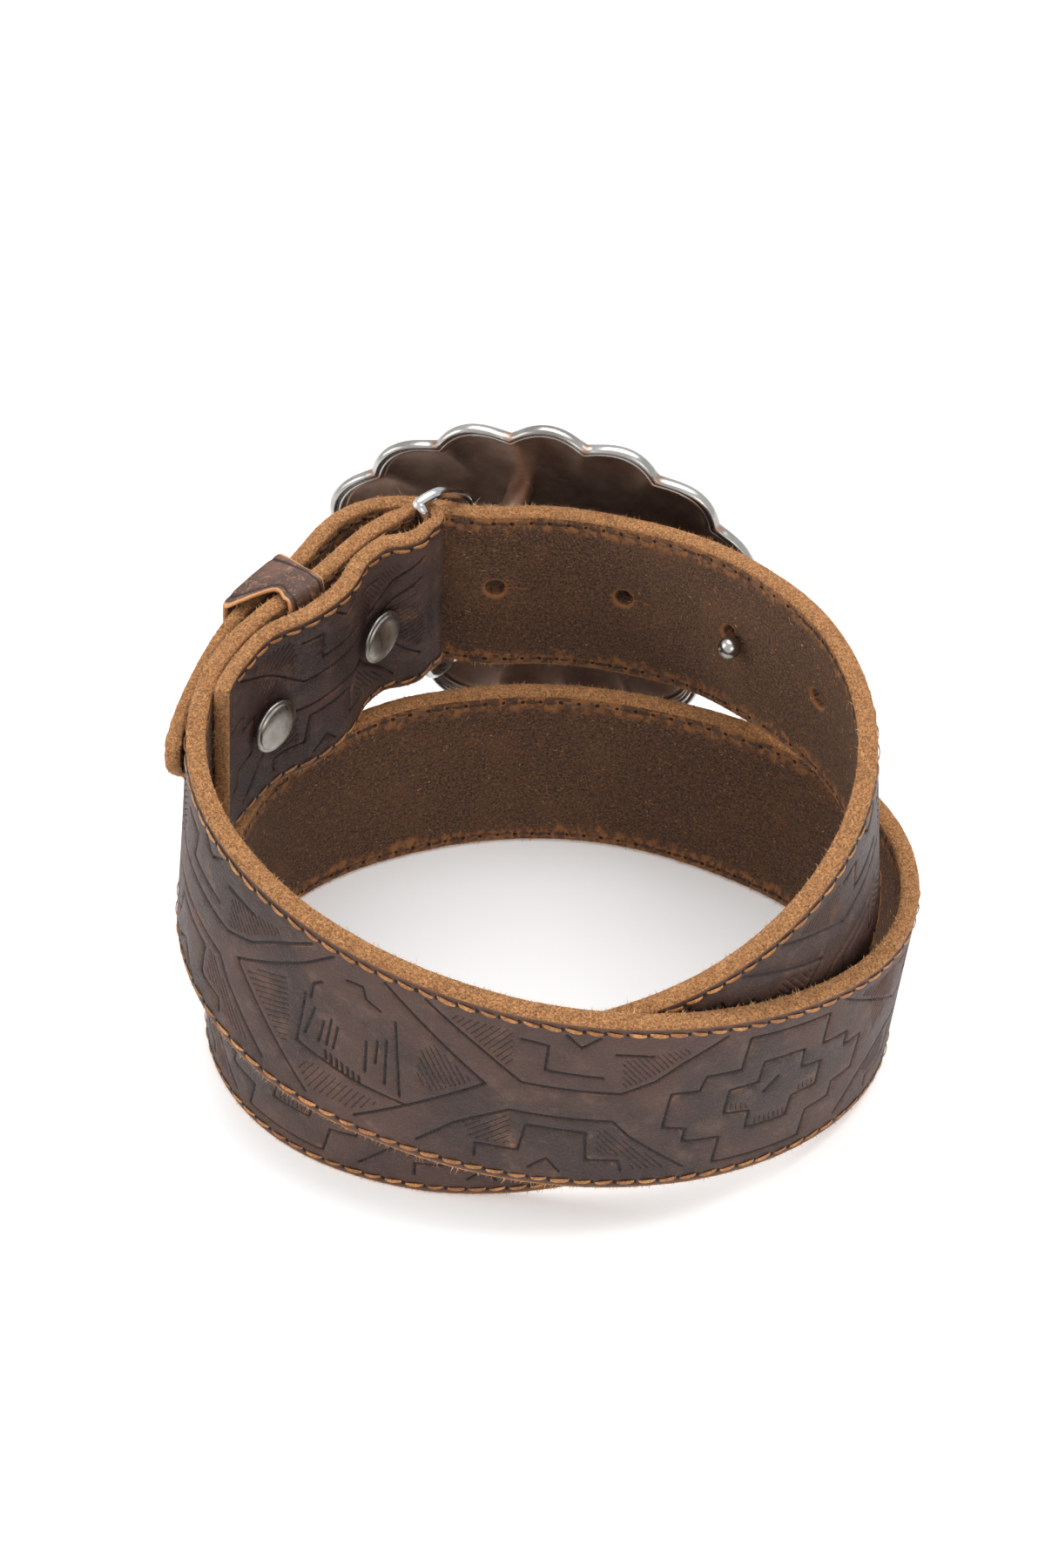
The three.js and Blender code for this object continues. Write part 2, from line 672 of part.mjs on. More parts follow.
function hookGeometries(toPlate) {
  const route = HOOK_ROUTE.map((point) => point.clone().applyMatrix4(toPlate));
  const ball = route.at(-1);
  return [
    wire([HOOK_ROOT, ...route], HOOK_DIAMETER, 16, 10),
    new THREE.SphereGeometry(HOOK_BALL_DIAMETER / 2, 16, 12).translate(ball.x, ball.y, ball.z),
  ];
}

function buckleGeometry(toPlate) {
  let solid = toSolid(plateShellGeometry());
  hookGeometries(toPlate).forEach((geometry) => {
    solid = solid.add(toSolid(geometry));
  });
  LUGS.forEach(({ u, v, top }) => {
    const foot = new THREE.Vector3(u, v, -DOME_DEPTH);
    const head = new THREE.Vector3(u, v, top);
    solid = solid.add(toSolid(bar(foot, head, LUG_DIAMETER, 12)));
  });
  LUGS.forEach(({ u, v, top }) => {
    const height = top - LUG_DIAMETER / 2;
    const open = new THREE.Vector3(u - LUG_DIAMETER, v, height);
    const end = new THREE.Vector3(u + LUG_DIAMETER / 4, v, height);
    solid = solid.subtract(toSolid(bar(open, end, LUG_BORE, 12)));
  });
  return toGeometry(solid);
}

// Foot of the bail, from outside its lug to the middle of the lug's bore
function bailFoot({ u, v, top }, fromPlate) {
  const height = top - LUG_DIAMETER / 2;
  const points = [u - 5.5, u - 2.7, u + 0.6].map((along) => new THREE.Vector3(along, v, height));
  return points.map((point) => point.applyMatrix4(fromPlate));
}

function bailGeometry(fromPlate) {
  const cut = barCut();
  const upright = BAIL_BAR_HEIGHTS.map((z) => pointOn(cut, 0, z - cut.lift));
  const route = [
    ...bailFoot(LUGS[1], fromPlate).reverse(),
    ...[...BAIL_BOTTOM].reverse(),
    ...upright,
    ...BAIL_TOP,
    ...bailFoot(LUGS[0], fromPlate),
  ];
  return wire(route, BAIL_DIAMETER, 72, 10);
}

const leather = new THREE.MeshStandardMaterial({ color: 0x54392c, roughness: 0.7, metalness: 0 });
const keeperLeather = new THREE.MeshStandardMaterial({ color: 0x7d5240, roughness: 0.65, metalness: 0 });
const brushedSteel = new THREE.MeshStandardMaterial({ color: 0x9a958c, roughness: 0.35, metalness: 1 });
const agedSilver = new THREE.MeshStandardMaterial({ color: 0x8b8680, roughness: 0.4, metalness: 1 });
const chrome = new THREE.MeshStandardMaterial({ color: 0xc9c9c9, roughness: 0.15, metalness: 1 });

function namedMesh(name, geometry, material) {
  const mesh = new THREE.Mesh(geometry, material);
  mesh.name = name;
  return mesh;
}

function buildBelt() {
  const belt = new THREE.Group();
  const fromPlate = plateFrame();
  const toPlate = fromPlate.clone().invert();
  belt.add(namedMesh('strap', strapGeometry(), leather));
  belt.add(namedMesh('keeper_loop', keeperGeometry(), keeperLeather));
  SNAPS.forEach((snap, index) => belt.add(...snapMeshes(snap, index)));
  const buckle = new THREE.Group();
  buckle.applyMatrix4(fromPlate);
  buckle.add(namedMesh('buckle_plate', buckleGeometry(toPlate), agedSilver));
  belt.add(buckle);
  belt.add(namedMesh('buckle_bail', bailGeometry(fromPlate), chrome));
  belt.position.set(-FOOTPRINT_X, -FOOTPRINT_Y, 0);
  const part = new THREE.Group();
  part.add(belt);
  return part;
}

export default buildBelt();
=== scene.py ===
import math

import bpy
import numpy as np
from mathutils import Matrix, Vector
from mathutils.geometry import delaunay_2d_cdt
from mathutils.kdtree import KDTree


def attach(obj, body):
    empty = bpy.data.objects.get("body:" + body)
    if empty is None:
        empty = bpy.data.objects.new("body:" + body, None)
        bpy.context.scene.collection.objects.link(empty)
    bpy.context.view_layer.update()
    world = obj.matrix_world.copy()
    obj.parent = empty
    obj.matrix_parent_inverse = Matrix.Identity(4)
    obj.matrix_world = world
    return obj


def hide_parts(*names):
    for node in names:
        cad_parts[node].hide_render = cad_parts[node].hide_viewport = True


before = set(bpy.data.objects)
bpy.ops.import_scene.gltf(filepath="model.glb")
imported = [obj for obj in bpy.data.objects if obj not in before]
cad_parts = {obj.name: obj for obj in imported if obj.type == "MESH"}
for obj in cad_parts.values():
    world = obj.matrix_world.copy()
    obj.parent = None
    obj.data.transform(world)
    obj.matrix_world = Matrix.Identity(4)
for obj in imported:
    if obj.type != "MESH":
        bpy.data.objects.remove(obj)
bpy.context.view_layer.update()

MM = 0.001

# Camera
# It stands where the photograph was taken from, in front of the belt and looking down into the loop. Its lens
# was fitted to the strap, whose width is the same all along.
PHOTO_MIDDLE = Vector((-4.463, 43.497, 0.0))
EYE = Vector((-4.463, -297.1, 358.6)) * MM
LOOKED_AT = PHOTO_MIDDLE * MM
FILM_HEIGHT = 36.0
FOCAL_LENGTH = 56.318

camera_data = bpy.data.cameras.new("photo_camera")
camera_data.sensor_fit = "VERTICAL"
camera_data.sensor_height = FILM_HEIGHT
camera_data.lens = FOCAL_LENGTH
camera_data.clip_start = 0.01
camera = bpy.data.objects.new("photo_camera", camera_data)
camera.location = EYE
camera.rotation_euler = (LOOKED_AT - EYE).to_track_quat("-Z", "Y").to_euler()
bpy.context.collection.objects.link(camera)
bpy.context.scene.camera = camera

# Floor and light
# A white table under a white studio sky, with one large soft lamp overhead and weaker ones at the left and in
# front. The table glows slightly, which lightens the shadows on it.
FLOOR_HALF = 12.0
FLOOR_CORNERS = [(-1, -1), (1, -1), (1, 1), (-1, 1)]
FLOOR_WHITE = (0.93, 0.93, 0.93, 1.0)
FLOOR_ROUGHNESS = 0.7
FLOOR_GLOW = 0.2
SKY_STRENGTH = 0.82

floor_mesh = bpy.data.meshes.new("floor")
floor_mesh.from_pydata([(x * FLOOR_HALF, y * FLOOR_HALF, 0) for x, y in FLOOR_CORNERS], [], [(0, 1, 2, 3)])
floor = bpy.data.objects.new("floor", floor_mesh)
bpy.context.collection.objects.link(floor)
floor_paint = bpy.data.materials.new("white_table")
floor_paint.use_nodes = True
floor_shader = floor_paint.node_tree.nodes["Principled BSDF"]
floor_shader.inputs["Base Color"].default_value = FLOOR_WHITE
floor_shader.inputs["Roughness"].default_value = FLOOR_ROUGHNESS
floor_shader.inputs["Emission Color"].default_value = FLOOR_WHITE
floor_shader.inputs["Emission Strength"].default_value = FLOOR_GLOW
floor_mesh.materials.append(floor_paint)

sky = bpy.data.worlds.new("studio_sky")
sky.use_nodes = True
sky.node_tree.nodes["Background"].inputs["Color"].default_value = (1.0, 1.0, 1.0, 1.0)
sky.node_tree.nodes["Background"].inputs["Strength"].default_value = SKY_STRENGTH
bpy.context.scene.world = sky
bpy.context.scene.view_settings.view_transform = "Standard"


def softbox(name, spot, aim, size, power):
    """A soft lamp at a spot and turned to an aim, in metres; size is its two sides and power is in watts."""
    lamp = bpy.data.lights.new(name, "AREA")
    lamp.shape = "RECTANGLE"
    lamp.size = size[0]
    lamp.size_y = size[1]
    lamp.energy = power
    box = bpy.data.objects.new(name, lamp)
    box.location = spot
    box.rotation_euler = (Vector(aim) - Vector(spot)).to_track_quat("-Z", "Y").to_euler()
    bpy.context.collection.objects.link(box)


softbox("overhead_lamp", (0.1, 0.25, 0.9), (0, 0, 0), (0.9, 0.7), 7.0)
softbox("left_lamp", (-0.9, -0.1, 0.55), (0, 0, 0.04), (0.6, 0.6), 2.6)
softbox("front_lamp", (0.35, -0.9, 0.6), (0, 0, 0.04), (0.5, 0.5), 1.8)

# Strap path
# The strap is one long strip of thick cowhide stood on edge. It starts at the end folded back round the
# bail, runs once round the upper turn, drops to the floor turn and climbs again to the free tip.
STRAP_WIDTH = 38.0
STRAP_THICKNESS = 3.3
LOOP_MIDDLE = (-2.463, 1.497)
FLOOR_SETTLE = 0.2
FOLD_TURN = 120.0
FOLD_RADIUS = 2.6
FLAP_END_TURN = 188.0
FLAP_LEAST_LIFT = 38.4
TIP_TURN = 914.0
FOLD_THICKNESS = 2.2
FOLD_THINNING = (120, 129)
TIP_THICKNESS = 2.6
TIP_THINNING = (872, 888)
FOLD_STEPS = 32
TURN_STEP = 0.25
TURN_NUDGE = 0.05
# turn in degrees, radius, lift of the bottom edge, lean of the top edge outwards in degrees
PATH = np.array([
    (112.5, 42.9, 40.4, -4.0), (135, 42.8, 40.3, -4.5), (157.5, 43.5, 40.1, -3.3), (180, 53.8, 38.2, -3.8),
    (202.5, 61.9, 31.5, -9.5), (225, 61.2, 23.4, -13.0), (247.5, 58.4, 17.4, -12.0), (270, 58.2, 12.6, -10.0),
    (292.5, 61.0, 8.6, -7.6), (315, 65.2, 3.8, -3.7), (337.5, 68.0, 0.5, 1.7), (360, 60.3, 0, 5.0),
    (382.5, 45.5, 0, 5.4), (405, 35.6, 0, 4.4), (427.5, 30.9, 0, 4.1), (450, 29.5, 0, 4.4),
    (472.5, 30.9, 0, 4.2), (495, 35.7, 0, 4.4), (517.5, 43.7, 0, 0.3), (540, 53.4, 0, -5.3),
    (562.5, 60.3, 0, -6.9), (585, 60.2, 0, -7.1), (607.5, 56.1, 0, -7.1), (630, 54.0, 2.8, -7.3),
    (652.5, 56.4, 9.6, -6.1), (675, 59.9, 20.1, -4.7), (697.5, 60.4, 32.9, -6.2), (720, 52.7, 41.1, -5.9),
    (742.5, 44.7, 41.0, -3.2), (765, 43.8, 36.4, -2.2), (787.5, 44.3, 32.8, -1.1), (810, 44.1, 32.6, 0),
    (825, 44.4, 33.9, -0.3), (840, 50.2, 35.7, -1.2), (855, 51.1, 37.4, -2.5), (870, 49.0, 38.0, -3.0),
    (885, 52.8, 36.7, -2.8), (900, 58.0, 34.1, -4.3), (915, 64.5, 31.4, -7.6), (930, 67.5, 29.5, -10.4),
])
# turn in degrees, distance between the middles of the two layers, thickness of the folded-back layer
FLAP = np.array([
    (120, 5.2, 2.2), (125.5, 6.4, 3.1), (130, 5.8, 3.2), (134.5, 4.1, 3.2), (139, 3.7, 3.1),
    (144.5, 3.7, 3.1), (148.5, 4.5, 3.2), (153, 5.4, 3.2), (159, 5.7, 3.2), (165, 5.2, 3.1),
    (169, 4.0, 2.9), (173, 3.45, 2.8), (178, 3.45, 2.8), (190, 3.65, 2.7),
])


def natural_curve(table, column):
    """Smooth curve through one column of a table, as a function of the turn in its first column."""
    turns = table[:, 0]
    values = table[:, column]
    count = len(turns)
    gaps = np.diff(turns)
    slopes = np.diff(values) / gaps
    system = np.eye(count)
    right = np.zeros(count)
    for i in range(1, count - 1):
        system[i, i - 1:i + 2] = gaps[i - 1], 2 * (gaps[i - 1] + gaps[i]), gaps[i]
        right[i] = 6 * (slopes[i] - slopes[i - 1])
    bend = np.linalg.solve(system, right)

    def at(turn):
        i = np.clip(np.searchsorted(turns, turn) - 1, 0, count - 2)
        b = (turn - turns[i]) / gaps[i]
        a = 1 - b
        curl = (a ** 3 - a) * bend[i] + (b ** 3 - b) * bend[i + 1]
        return a * values[i] + b * values[i + 1] + curl * gaps[i] ** 2 / 6
    return at


radius_at = natural_curve(PATH, 1)
lift_at = natural_curve(PATH, 2)
lean_at = natural_curve(PATH, 3)
apart_at = natural_curve(FLAP, 1)


def smooth(value, low, high):
    """Eases from 0 at low to 1 at high."""
    share = np.clip((value - low) / (high - low), 0, 1)
    return share * share * (3 - 2 * share)


def layer_cuts(turn):
    """Columns: x, y, grain x, grain y, sideways shift x and y for a mm of height, lift, thickness."""
    angle = np.radians(turn)
    radius = radius_at(turn)
    slope = (radius_at(turn + TURN_NUDGE) - radius_at(turn - TURN_NUDGE)) / math.radians(2 * TURN_NUDGE)
    tx = slope * np.cos(angle) - radius * np.sin(angle)
    ty = slope * np.sin(angle) + radius * np.cos(angle)
    length = np.hypot(tx, ty)
    gx, gy = ty / length, -tx / length
    lean = np.tan(np.radians(lean_at(turn)))
    thickness = FOLD_THICKNESS + (STRAP_THICKNESS - FOLD_THICKNESS) * smooth(turn, *FOLD_THINNING)
    thickness += (TIP_THICKNESS - thickness) * smooth(turn, *TIP_THINNING)
    lift = np.maximum(0, lift_at(turn) - FLOOR_SETTLE)
    x = LOOP_MIDDLE[0] + radius * np.cos(angle)
    y = LOOP_MIDDLE[1] + radius * np.sin(angle)
    return np.stack([x, y, gx, gy, gx * lean, gy * lean, lift, thickness], axis=1)


def flap_cuts(turn):
    """The same columns for the folded-back layer, which lies inside the first turn."""
    def middle(at_turn):
        cut = layer_cuts(at_turn)
        return cut[:, :2] - cut[:, 2:4] * apart_at(at_turn)[:, None], cut
    here, cut = middle(turn)
    along = middle(turn - TURN_NUDGE)[0] - middle(turn + TURN_NUDGE)[0]
    along /= np.linalg.norm(along, axis=1)[:, None]
    result = cut.copy()
    result[:, :2] = here
    result[:, 2] = along[:, 1]
    result[:, 3] = -along[:, 0]
    result[:, 6] = np.maximum(cut[:, 6], FLAP_LEAST_LIFT)
    result[:, 7] = np.interp(turn, FLAP[:, 0], FLAP[:, 2])
    return result


def bail_bar_cut():
    """The strap's cut at the fold, moved in to the middle of the bail's upright bar."""
    bar = layer_cuts(np.array([FOLD_TURN]))[0]
    bar[:2] -= bar[2:4] * FOLD_RADIUS
    return bar


def fold_cuts(steps):
    """The same columns for the half turn round the bar."""
    bar = bail_bar_cut()
    rows = []
    for i in range(1, steps):
        angle = math.pi * i / steps
        row = bar.copy()
        row[2:4] = -math.cos(angle) * bar[2:4] - math.sin(angle) * np.array((-bar[3], bar[2]))
        row[:2] = bar[:2] + row[2:4] * FOLD_RADIUS
        rows.append(row)
    return np.array(rows)


flap_turns = np.arange(FLAP_END_TURN, FOLD_TURN - TURN_STEP / 2, -TURN_STEP)
main_turns = np.arange(FOLD_TURN, TIP_TURN + TURN_STEP / 2, TURN_STEP)
cuts = np.concatenate([flap_cuts(flap_turns), fold_cuts(FOLD_STEPS), layer_cuts(main_turns)])
steps_along = np.linalg.norm(np.diff(cuts[:, [0, 1, 6]], axis=0), axis=1)
along_strap = np.concatenate([[0], np.cumsum(steps_along)])
strap_length = along_strap[-1]
flap_end_u = along_strap[len(flap_turns) - 1]
main_start_u = along_strap[-len(main_turns)]


def u_of(turn):
    return float(np.interp(turn, main_turns, along_strap[-len(main_turns):]))


def flap_u_of(turn):
    return float(np.interp(-turn, -flap_turns, along_strap[:len(flap_turns)]))


def place(u, height, out):
    """Points on the strap, in metres in the frame: mm along it, above its bottom edge, out of its middle."""
    cut = np.stack([np.interp(u, along_strap, cuts[:, k]) for k in range(7)], axis=-1)
    raised = height - STRAP_WIDTH / 2
    x = cut[..., 0] + cut[..., 2] * out + cut[..., 4] * raised
    y = cut[..., 1] + cut[..., 3] * out + cut[..., 5] * raised
    return np.stack([x, y, cut[..., 6] + height], axis=-1) * MM


def half_thickness(u):
    return np.interp(u, along_strap, cuts[:, 7]) / 2


# Embossing
# A heated plate pressed a woven-blanket pattern of hourglasses, diamonds and stepped crosses into the grain.
# Each stroke is a real groove, given by its half width and depth, and the grounds carry finer hatching.
GROOVE = (0.42, 0.5)
FINE_GROOVE = (0.22, 0.27)
MOTIF_SPACING = 35.0
STROKE_STEP = 1.6
SHORTEST_HATCH = 0.9

# a stroke is a line of points: mm along the strap from the motif's middle, and mm above its bottom edge
DIAMOND = [
    [(-22.8, 19.4), (-9.1, 29.7), (-3.9, 34.4)],
    [(5.3, 34.5), (11.9, 29.5), (22.8, 20.9)],
    [(-22.8, 19.4), (-7.3, 4.0)],
    [(22.8, 20.9), (1.3, 4.3)],
    [(-6.7, 22.3), (-8.2, 16)], [(-4.9, 20.6), (-5.6, 16)],
    [(-3.6, 21.8), (-4.2, 16)], [(-2.4, 20.9), (-3.0, 16)],
    [(2.7, 21), (2.7, 14.6)], [(4.6, 22.1), (4.4, 17.2)],
    [(6.1, 23), (6.1, 13.8)], [(7.5, 27.5), (8.7, 12.3)],
    [(-7.6, 23.8), (-7.3, 26.8), (-5.6, 28.2)],
    [(-1.3, 31.2), (1.6, 31.6), (2.2, 29.4), (4.9, 28.3)],
    [(-8.6, 24.2), (-9.6, 13.4), (0.2, 11.6), (9.4, 11.0)],
]
# seven short slanted strokes side by side
DIAMOND += [[(i - 4.3, 14.9 - 0.3 * i), (i - 4.1, 13.1 - 0.3 * i)] for i in range(7)]
HOURGLASS = [
    [(-23, 34.6), (-13.4, 27.9), (-7.1, 22.9), (8.8, 22.5), (14.4, 25.3), (18.8, 29), (26.6, 34.3)],
    [(0, 34.6), (2.4, 32.1), (5.5, 34.6)],
    [(-7.3, 32.2), (-2.8, 31.8), (-3.4, 26.4), (5.9, 25.9)],
    [(7.9, 31.2), (14, 31)],
    [(-23.6, 4.4), (-17.8, 10.5), (-14.5, 12.9), (-8.9, 16.4), (7.4, 16.2), (10, 12.7), (18.8, 4.6)],
    [(-14.4, 4.6), (-14.3, 7.5), (-7.5, 7.7), (-6.3, 13.8), (3.3, 13.4)],
    [(3.1, 13.2), (3.1, 7.1), (8.3, 7.1), (8.7, 4.6)],
    [(-5.8, 4.2), (-3, 6.8), (-1, 3.9)],
]
CROSS = [
    [(-4.1, 32.9), (11.3, 32.9), (10, 25.7), (15.4, 25.7), (14.8, 22.3), (18.9, 22.5), (17.2, 14.6),
     (12.6, 14.2), (12, 10.7), (7, 10.3), (5.6, 4.2), (-10.9, 4.4), (-9.6, 10.5), (-16.1, 10.7),
     (-15.4, 13.8), (-19.3, 14.4), (-17.8, 22.2), (-13, 22.3), (-11.8, 25.5), (-5.7, 25.7), (-4.1, 32.9)],
    [(-1.5, 26.4), (6.3, 26.4), (5.7, 22), (9.8, 21.6), (8.9, 16), (3.9, 15.7), (2.8, 11.2),
     (-5, 11.2), (-4.3, 15.3), (-8.9, 15.9), (-7.8, 21.4), (-2.6, 21.8), (-1.5, 26.4)],
    [(-1.7, 19), (1.1, 22)],
]
# outline of each hatched ground, direction of its hatching in degrees and distance between its strokes
HATCHED_GROUNDS = {
    "diamond": [
        ([(-20.6, 19.4), (-12.6, 25.4), (-11.2, 17), (-11.2, 10.4)], 28, 0.95),
        ([(-9, 8.4), (-6.6, 5.4), (1.2, 5.6), (5.4, 9.2), (0, 9.9), (-7, 10.9)], 62, 0.95),
        ([(14.2, 26), (20.6, 20.9), (13.6, 15.6), (11.4, 18), (12, 24)], 118, 0.95),
    ],
    "hourglass": [
        ([(-19.5, 33.6), (-12.4, 28.5), (-8.6, 25.4), (-8.6, 33.6)], 50, 0.9),
        ([(9, 24), (13.6, 26.4), (21.6, 33), (9, 30)], 128, 0.9),
        ([(-16, 11), (-13.9, 12.4), (-8.6, 15.4), (-9, 8.8), (-15, 8.6)], 40, 0.9),
        ([(5, 15), (9, 12), (13.4, 8.2), (16, 5.2), (10.2, 5.2), (9.6, 8.4), (4.6, 8.6)], 128, 0.9),
    ],
    "cross": [
        ([(-4.2, 11.9), (2.2, 11.9), (2.6, 13.3), (-4, 13.3)], 90, 0.9),
        ([(4.4, 16.5), (8.2, 16.7), (8.4, 18.1), (4.6, 18.0)], 90, 0.9),
        ([(-8.1, 16.6), (-4.7, 16.1), (-4.5, 17.6), (-7.9, 18.1)], 90, 0.9),
        ([(20.4, 31), (24.6, 33.6), (25.4, 24), (22.4, 21)], 60, 0.95),
    ],
}


def hatching(ground, degrees, pitch):
    """Parallel short strokes that fill a ground."""
    c, s = math.cos(math.radians(degrees)), math.sin(math.radians(degrees))
    turned = [(x * c + y * s, -x * s + y * c) for x, y in ground]
    level = min(y for _, y in turned) + pitch / 2
    strokes = []
    while level < max(y for _, y in turned):
        crossings = []
        for (x0, y0), (x1, y1) in zip(turned, turned[1:] + turned[:1]):
            if (y0 > level) != (y1 > level):
                crossings.append(x0 + (x1 - x0) * (level - y0) / (y1 - y0))
        crossings.sort()
        for start, end in zip(crossings[::2], crossings[1::2]):
            if end - start > SHORTEST_HATCH:
                ends = [(start, level), (end, level)]
                strokes.append([(x * c - y * s, x * s + y * c) for x, y in ends])
        level += pitch
    return strokes


motifs = {"diamond": DIAMOND, "hourglass": HOURGLASS, "cross": CROSS}
fine_motifs = {
    name: [stroke for ground in grounds for stroke in hatching(*ground)]
    for name, grounds in HATCHED_GROUNDS.items()
}
MOTIF_ORDER = ["hourglass", "diamond", "hourglass", "cross"]
MOTIF_NUMBERS = range(-3, 25)
# turn of the strap and the number of the motif whose middle is there, and the spacing after the last of them
ANCHORS = [(209, 0), (240, 1), (275, 2), (308, 3), (339, 4), (588, 11), (691, 14)]
LAST_SPACING = 33.0
PLAIN_BY_FOLD = 3
PLAIN_BY_TIP = 4
# motifs of the folded-back end, with their distances from the middle one
FLAP_MOTIFS = [("cross", -37.5), ("hourglass", 0.0), ("diamond", 35.0)]
FLAP_MIDDLE_TURN = 157
PLAIN_BY_FLAP_END = 2.0
anchor_u = [u_of(turn) for turn, _ in ANCHORS]
anchor_number = [number for _, number in ANCHORS]


def motif_middle(number):
    if number < 0:
        return anchor_u[0] + number * MOTIF_SPACING
    if number > anchor_number[-1]:
        return anchor_u[-1] + (number - anchor_number[-1]) * LAST_SPACING
    return float(np.interp(number, anchor_number, anchor_u))


def kept_pieces(points, first_u, last_u):
    """The stretches of a stroke between two places along the strap, with their points close together."""
    pieces = [[]]
    for a, b in zip(points, points[1:]):
        count = max(1, math.ceil(math.dist(a, b) / STROKE_STEP))
        for i in range(count + 1):
            if i == 0 and pieces[-1]:
                continue
            p = (a[0] + (b[0] - a[0]) * i / count, a[1] + (b[1] - a[1]) * i / count)
            if first_u < p[0] < last_u:
                pieces[-1].append(p)
            elif pieces[-1]:
                pieces.append([])
    return [piece for piece in pieces if len(piece) > 1]


repeats = []
for number in MOTIF_NUMBERS:
    name = MOTIF_ORDER[number % len(MOTIF_ORDER)]
    stretch = (motif_middle(number + 1) - motif_middle(number - 1)) / 2 / MOTIF_SPACING
    first_u, last_u = main_start_u + PLAIN_BY_FOLD, strap_length - PLAIN_BY_TIP
    repeats.append((name, motif_middle(number), stretch, first_u, last_u))
for name, shift in FLAP_MOTIFS:
    middle = flap_u_of(FLAP_MIDDLE_TURN) + shift
    repeats.append((name, middle, 1.0, PLAIN_BY_FLAP_END, flap_end_u - PLAIN_BY_FOLD))

strokes = []
for name, middle, stretch, first_u, last_u in repeats:
    for pattern, (half_width, depth) in ((motifs[name], GROOVE), (fine_motifs[name], FINE_GROOVE)):
        for stroke in pattern:
            points = [(middle + p * stretch, h) for p, h in stroke]
            strokes += [(piece, half_width, depth) for piece in kept_pieces(points, first_u, last_u)]

# Punched holes
# Four round holes about an inch apart go right through the strap, for the buckle's hook. Beside each is a
# slit that use has pulled open, which is a groove in the leather.
HOLE_RADIUS = 2.0
HOLE_HEIGHT = 20.0
HOLE_TURNS = [819.5, 787, 754, 725.3]
HOLE_SIDES = 20
SLIT_GAP = 0.3
SLIT_STEP = 0.9
SLIT_POINTS = 5
SLIT_WANDER = 0.25
SLIT_BEND = 1.3
SLIT_GROOVE = (0.35, 0.6)
holes = [(u_of(turn), HOLE_HEIGHT) for turn in HOLE_TURNS]
slits = []
for hole_u, hole_h in holes:
    line = []
    for i in range(SLIT_POINTS):
        slit_u = hole_u - HOLE_RADIUS - SLIT_GAP - SLIT_STEP * i
        line.append((slit_u, hole_h + SLIT_WANDER * math.sin(SLIT_BEND * i)))
    slits.append((line, *SLIT_GROOVE))

# Strap
# Thick cowhide with a waxed grain side and a napped suede side. The cut edges are left raw, and wear has
# rounded and roughened them. It replaces the plain CAD strap and follows the same path.
EDGE_ROUNDING = 0.95
EDGE_STEPS = 8
EDGE_SCATTER = 0.09
EDGE_WAVE = 0.12
EDGE_DRAWN_IN = 0.12
OUTLINE_SPACING = 1.0
LEAST_SPACING = 0.3
TIP_EASINGS = 6
TIP_EASED_FROM = 890
# turn and height of the points up the tip's slanting end, and of its top corner
TIP_END = [(898, 0), (900, 3), (903, 13), (906.5, 21), (909.5, 25), (912, 29), (914, 33)]
TIP_TOP = [(914, 37.2), (912, 38.0)]
# the fold round the bail has its own, closer points
FOLD_MARGIN = 2
FOLD_SPACING = 0.4
FOLD_COLUMN = 0.45
FOLD_FOOT = 1.8
FOLD_ROW = 2.4
GRAIN_SPACING = 2.2
SUEDE_SPACING = 2.4
GRID_START = 1.5
GRID_FOOT = 1.6
GRID_TOP = 37
DEPTH_STEP = 0.12
HOLE_COLLAR = 0.7
HOLE_WEAR = 0.62
HOLE_DISH = 0.3
HOLE_WAIST = 0.25
SUEDE_SCATTER = 0.03
GRAIN_SIDE, SUEDE_SIDE, RAW_EDGE = range(3)
rng = np.random.default_rng(7)

tip_points = [(u_of(turn), float(h)) for turn, h in TIP_END + TIP_TOP]
corner_points = [(0.0, 0.0), *tip_points, (0.0, STRAP_WIDTH)]


def between(a, b, share):
    return a[0] + (b[0] - a[0]) * share, a[1] + (b[1] - a[1]) * share


def spaced_outline(corners, spacing):
    points = []
    for a, b in zip(corners, corners[1:] + corners[:1]):
        length = math.dist(a, b)
        walked = 0.0
        while walked < length - LEAST_SPACING:
            points.append(between(a, b, walked / length))
            in_fold = flap_end_u - FOLD_MARGIN < points[-1][0] < main_start_u + FOLD_MARGIN
            walked += FOLD_SPACING if in_fold else spacing
    return np.array(points)


outline = spaced_outline(corner_points, OUTLINE_SPACING)
for _ in range(TIP_EASINGS):
    near_tip = outline[:, 0] > u_of(TIP_EASED_FROM)
    eased = (np.roll(outline, 1, axis=0) + 2 * outline + np.roll(outline, -1, axis=0)) / 4
    outline[near_tip] = eased[near_tip]
ahead = np.roll(outline, -1, axis=0) - np.roll(outline, 1, axis=0)
outward = np.stack([ahead[:, 1], -ahead[:, 0]], axis=1)
outward /= np.linalg.norm(outward, axis=1)[:, None]
border = outline - outward * EDGE_ROUNDING


def inside(points, polygon):
    x, y = points[:, 0], points[:, 1]
    odd = np.zeros(len(points), bool)
    for a, b in zip(polygon, np.roll(polygon, -1, axis=0)):
        if a[1] == b[1]:
            continue
        crosses = ((a[1] > y) != (b[1] > y)) & (x < a[0] + (b[0] - a[0]) * (y - a[1]) / (b[1] - a[1]))
        odd ^= crosses
    return odd


def circle(middle, radius, sides):
    angles = np.arange(sides) * 2 * math.pi / sides
    return np.stack([middle[0] + radius * np.cos(angles), middle[1] + radius * np.sin(angles)], axis=1)


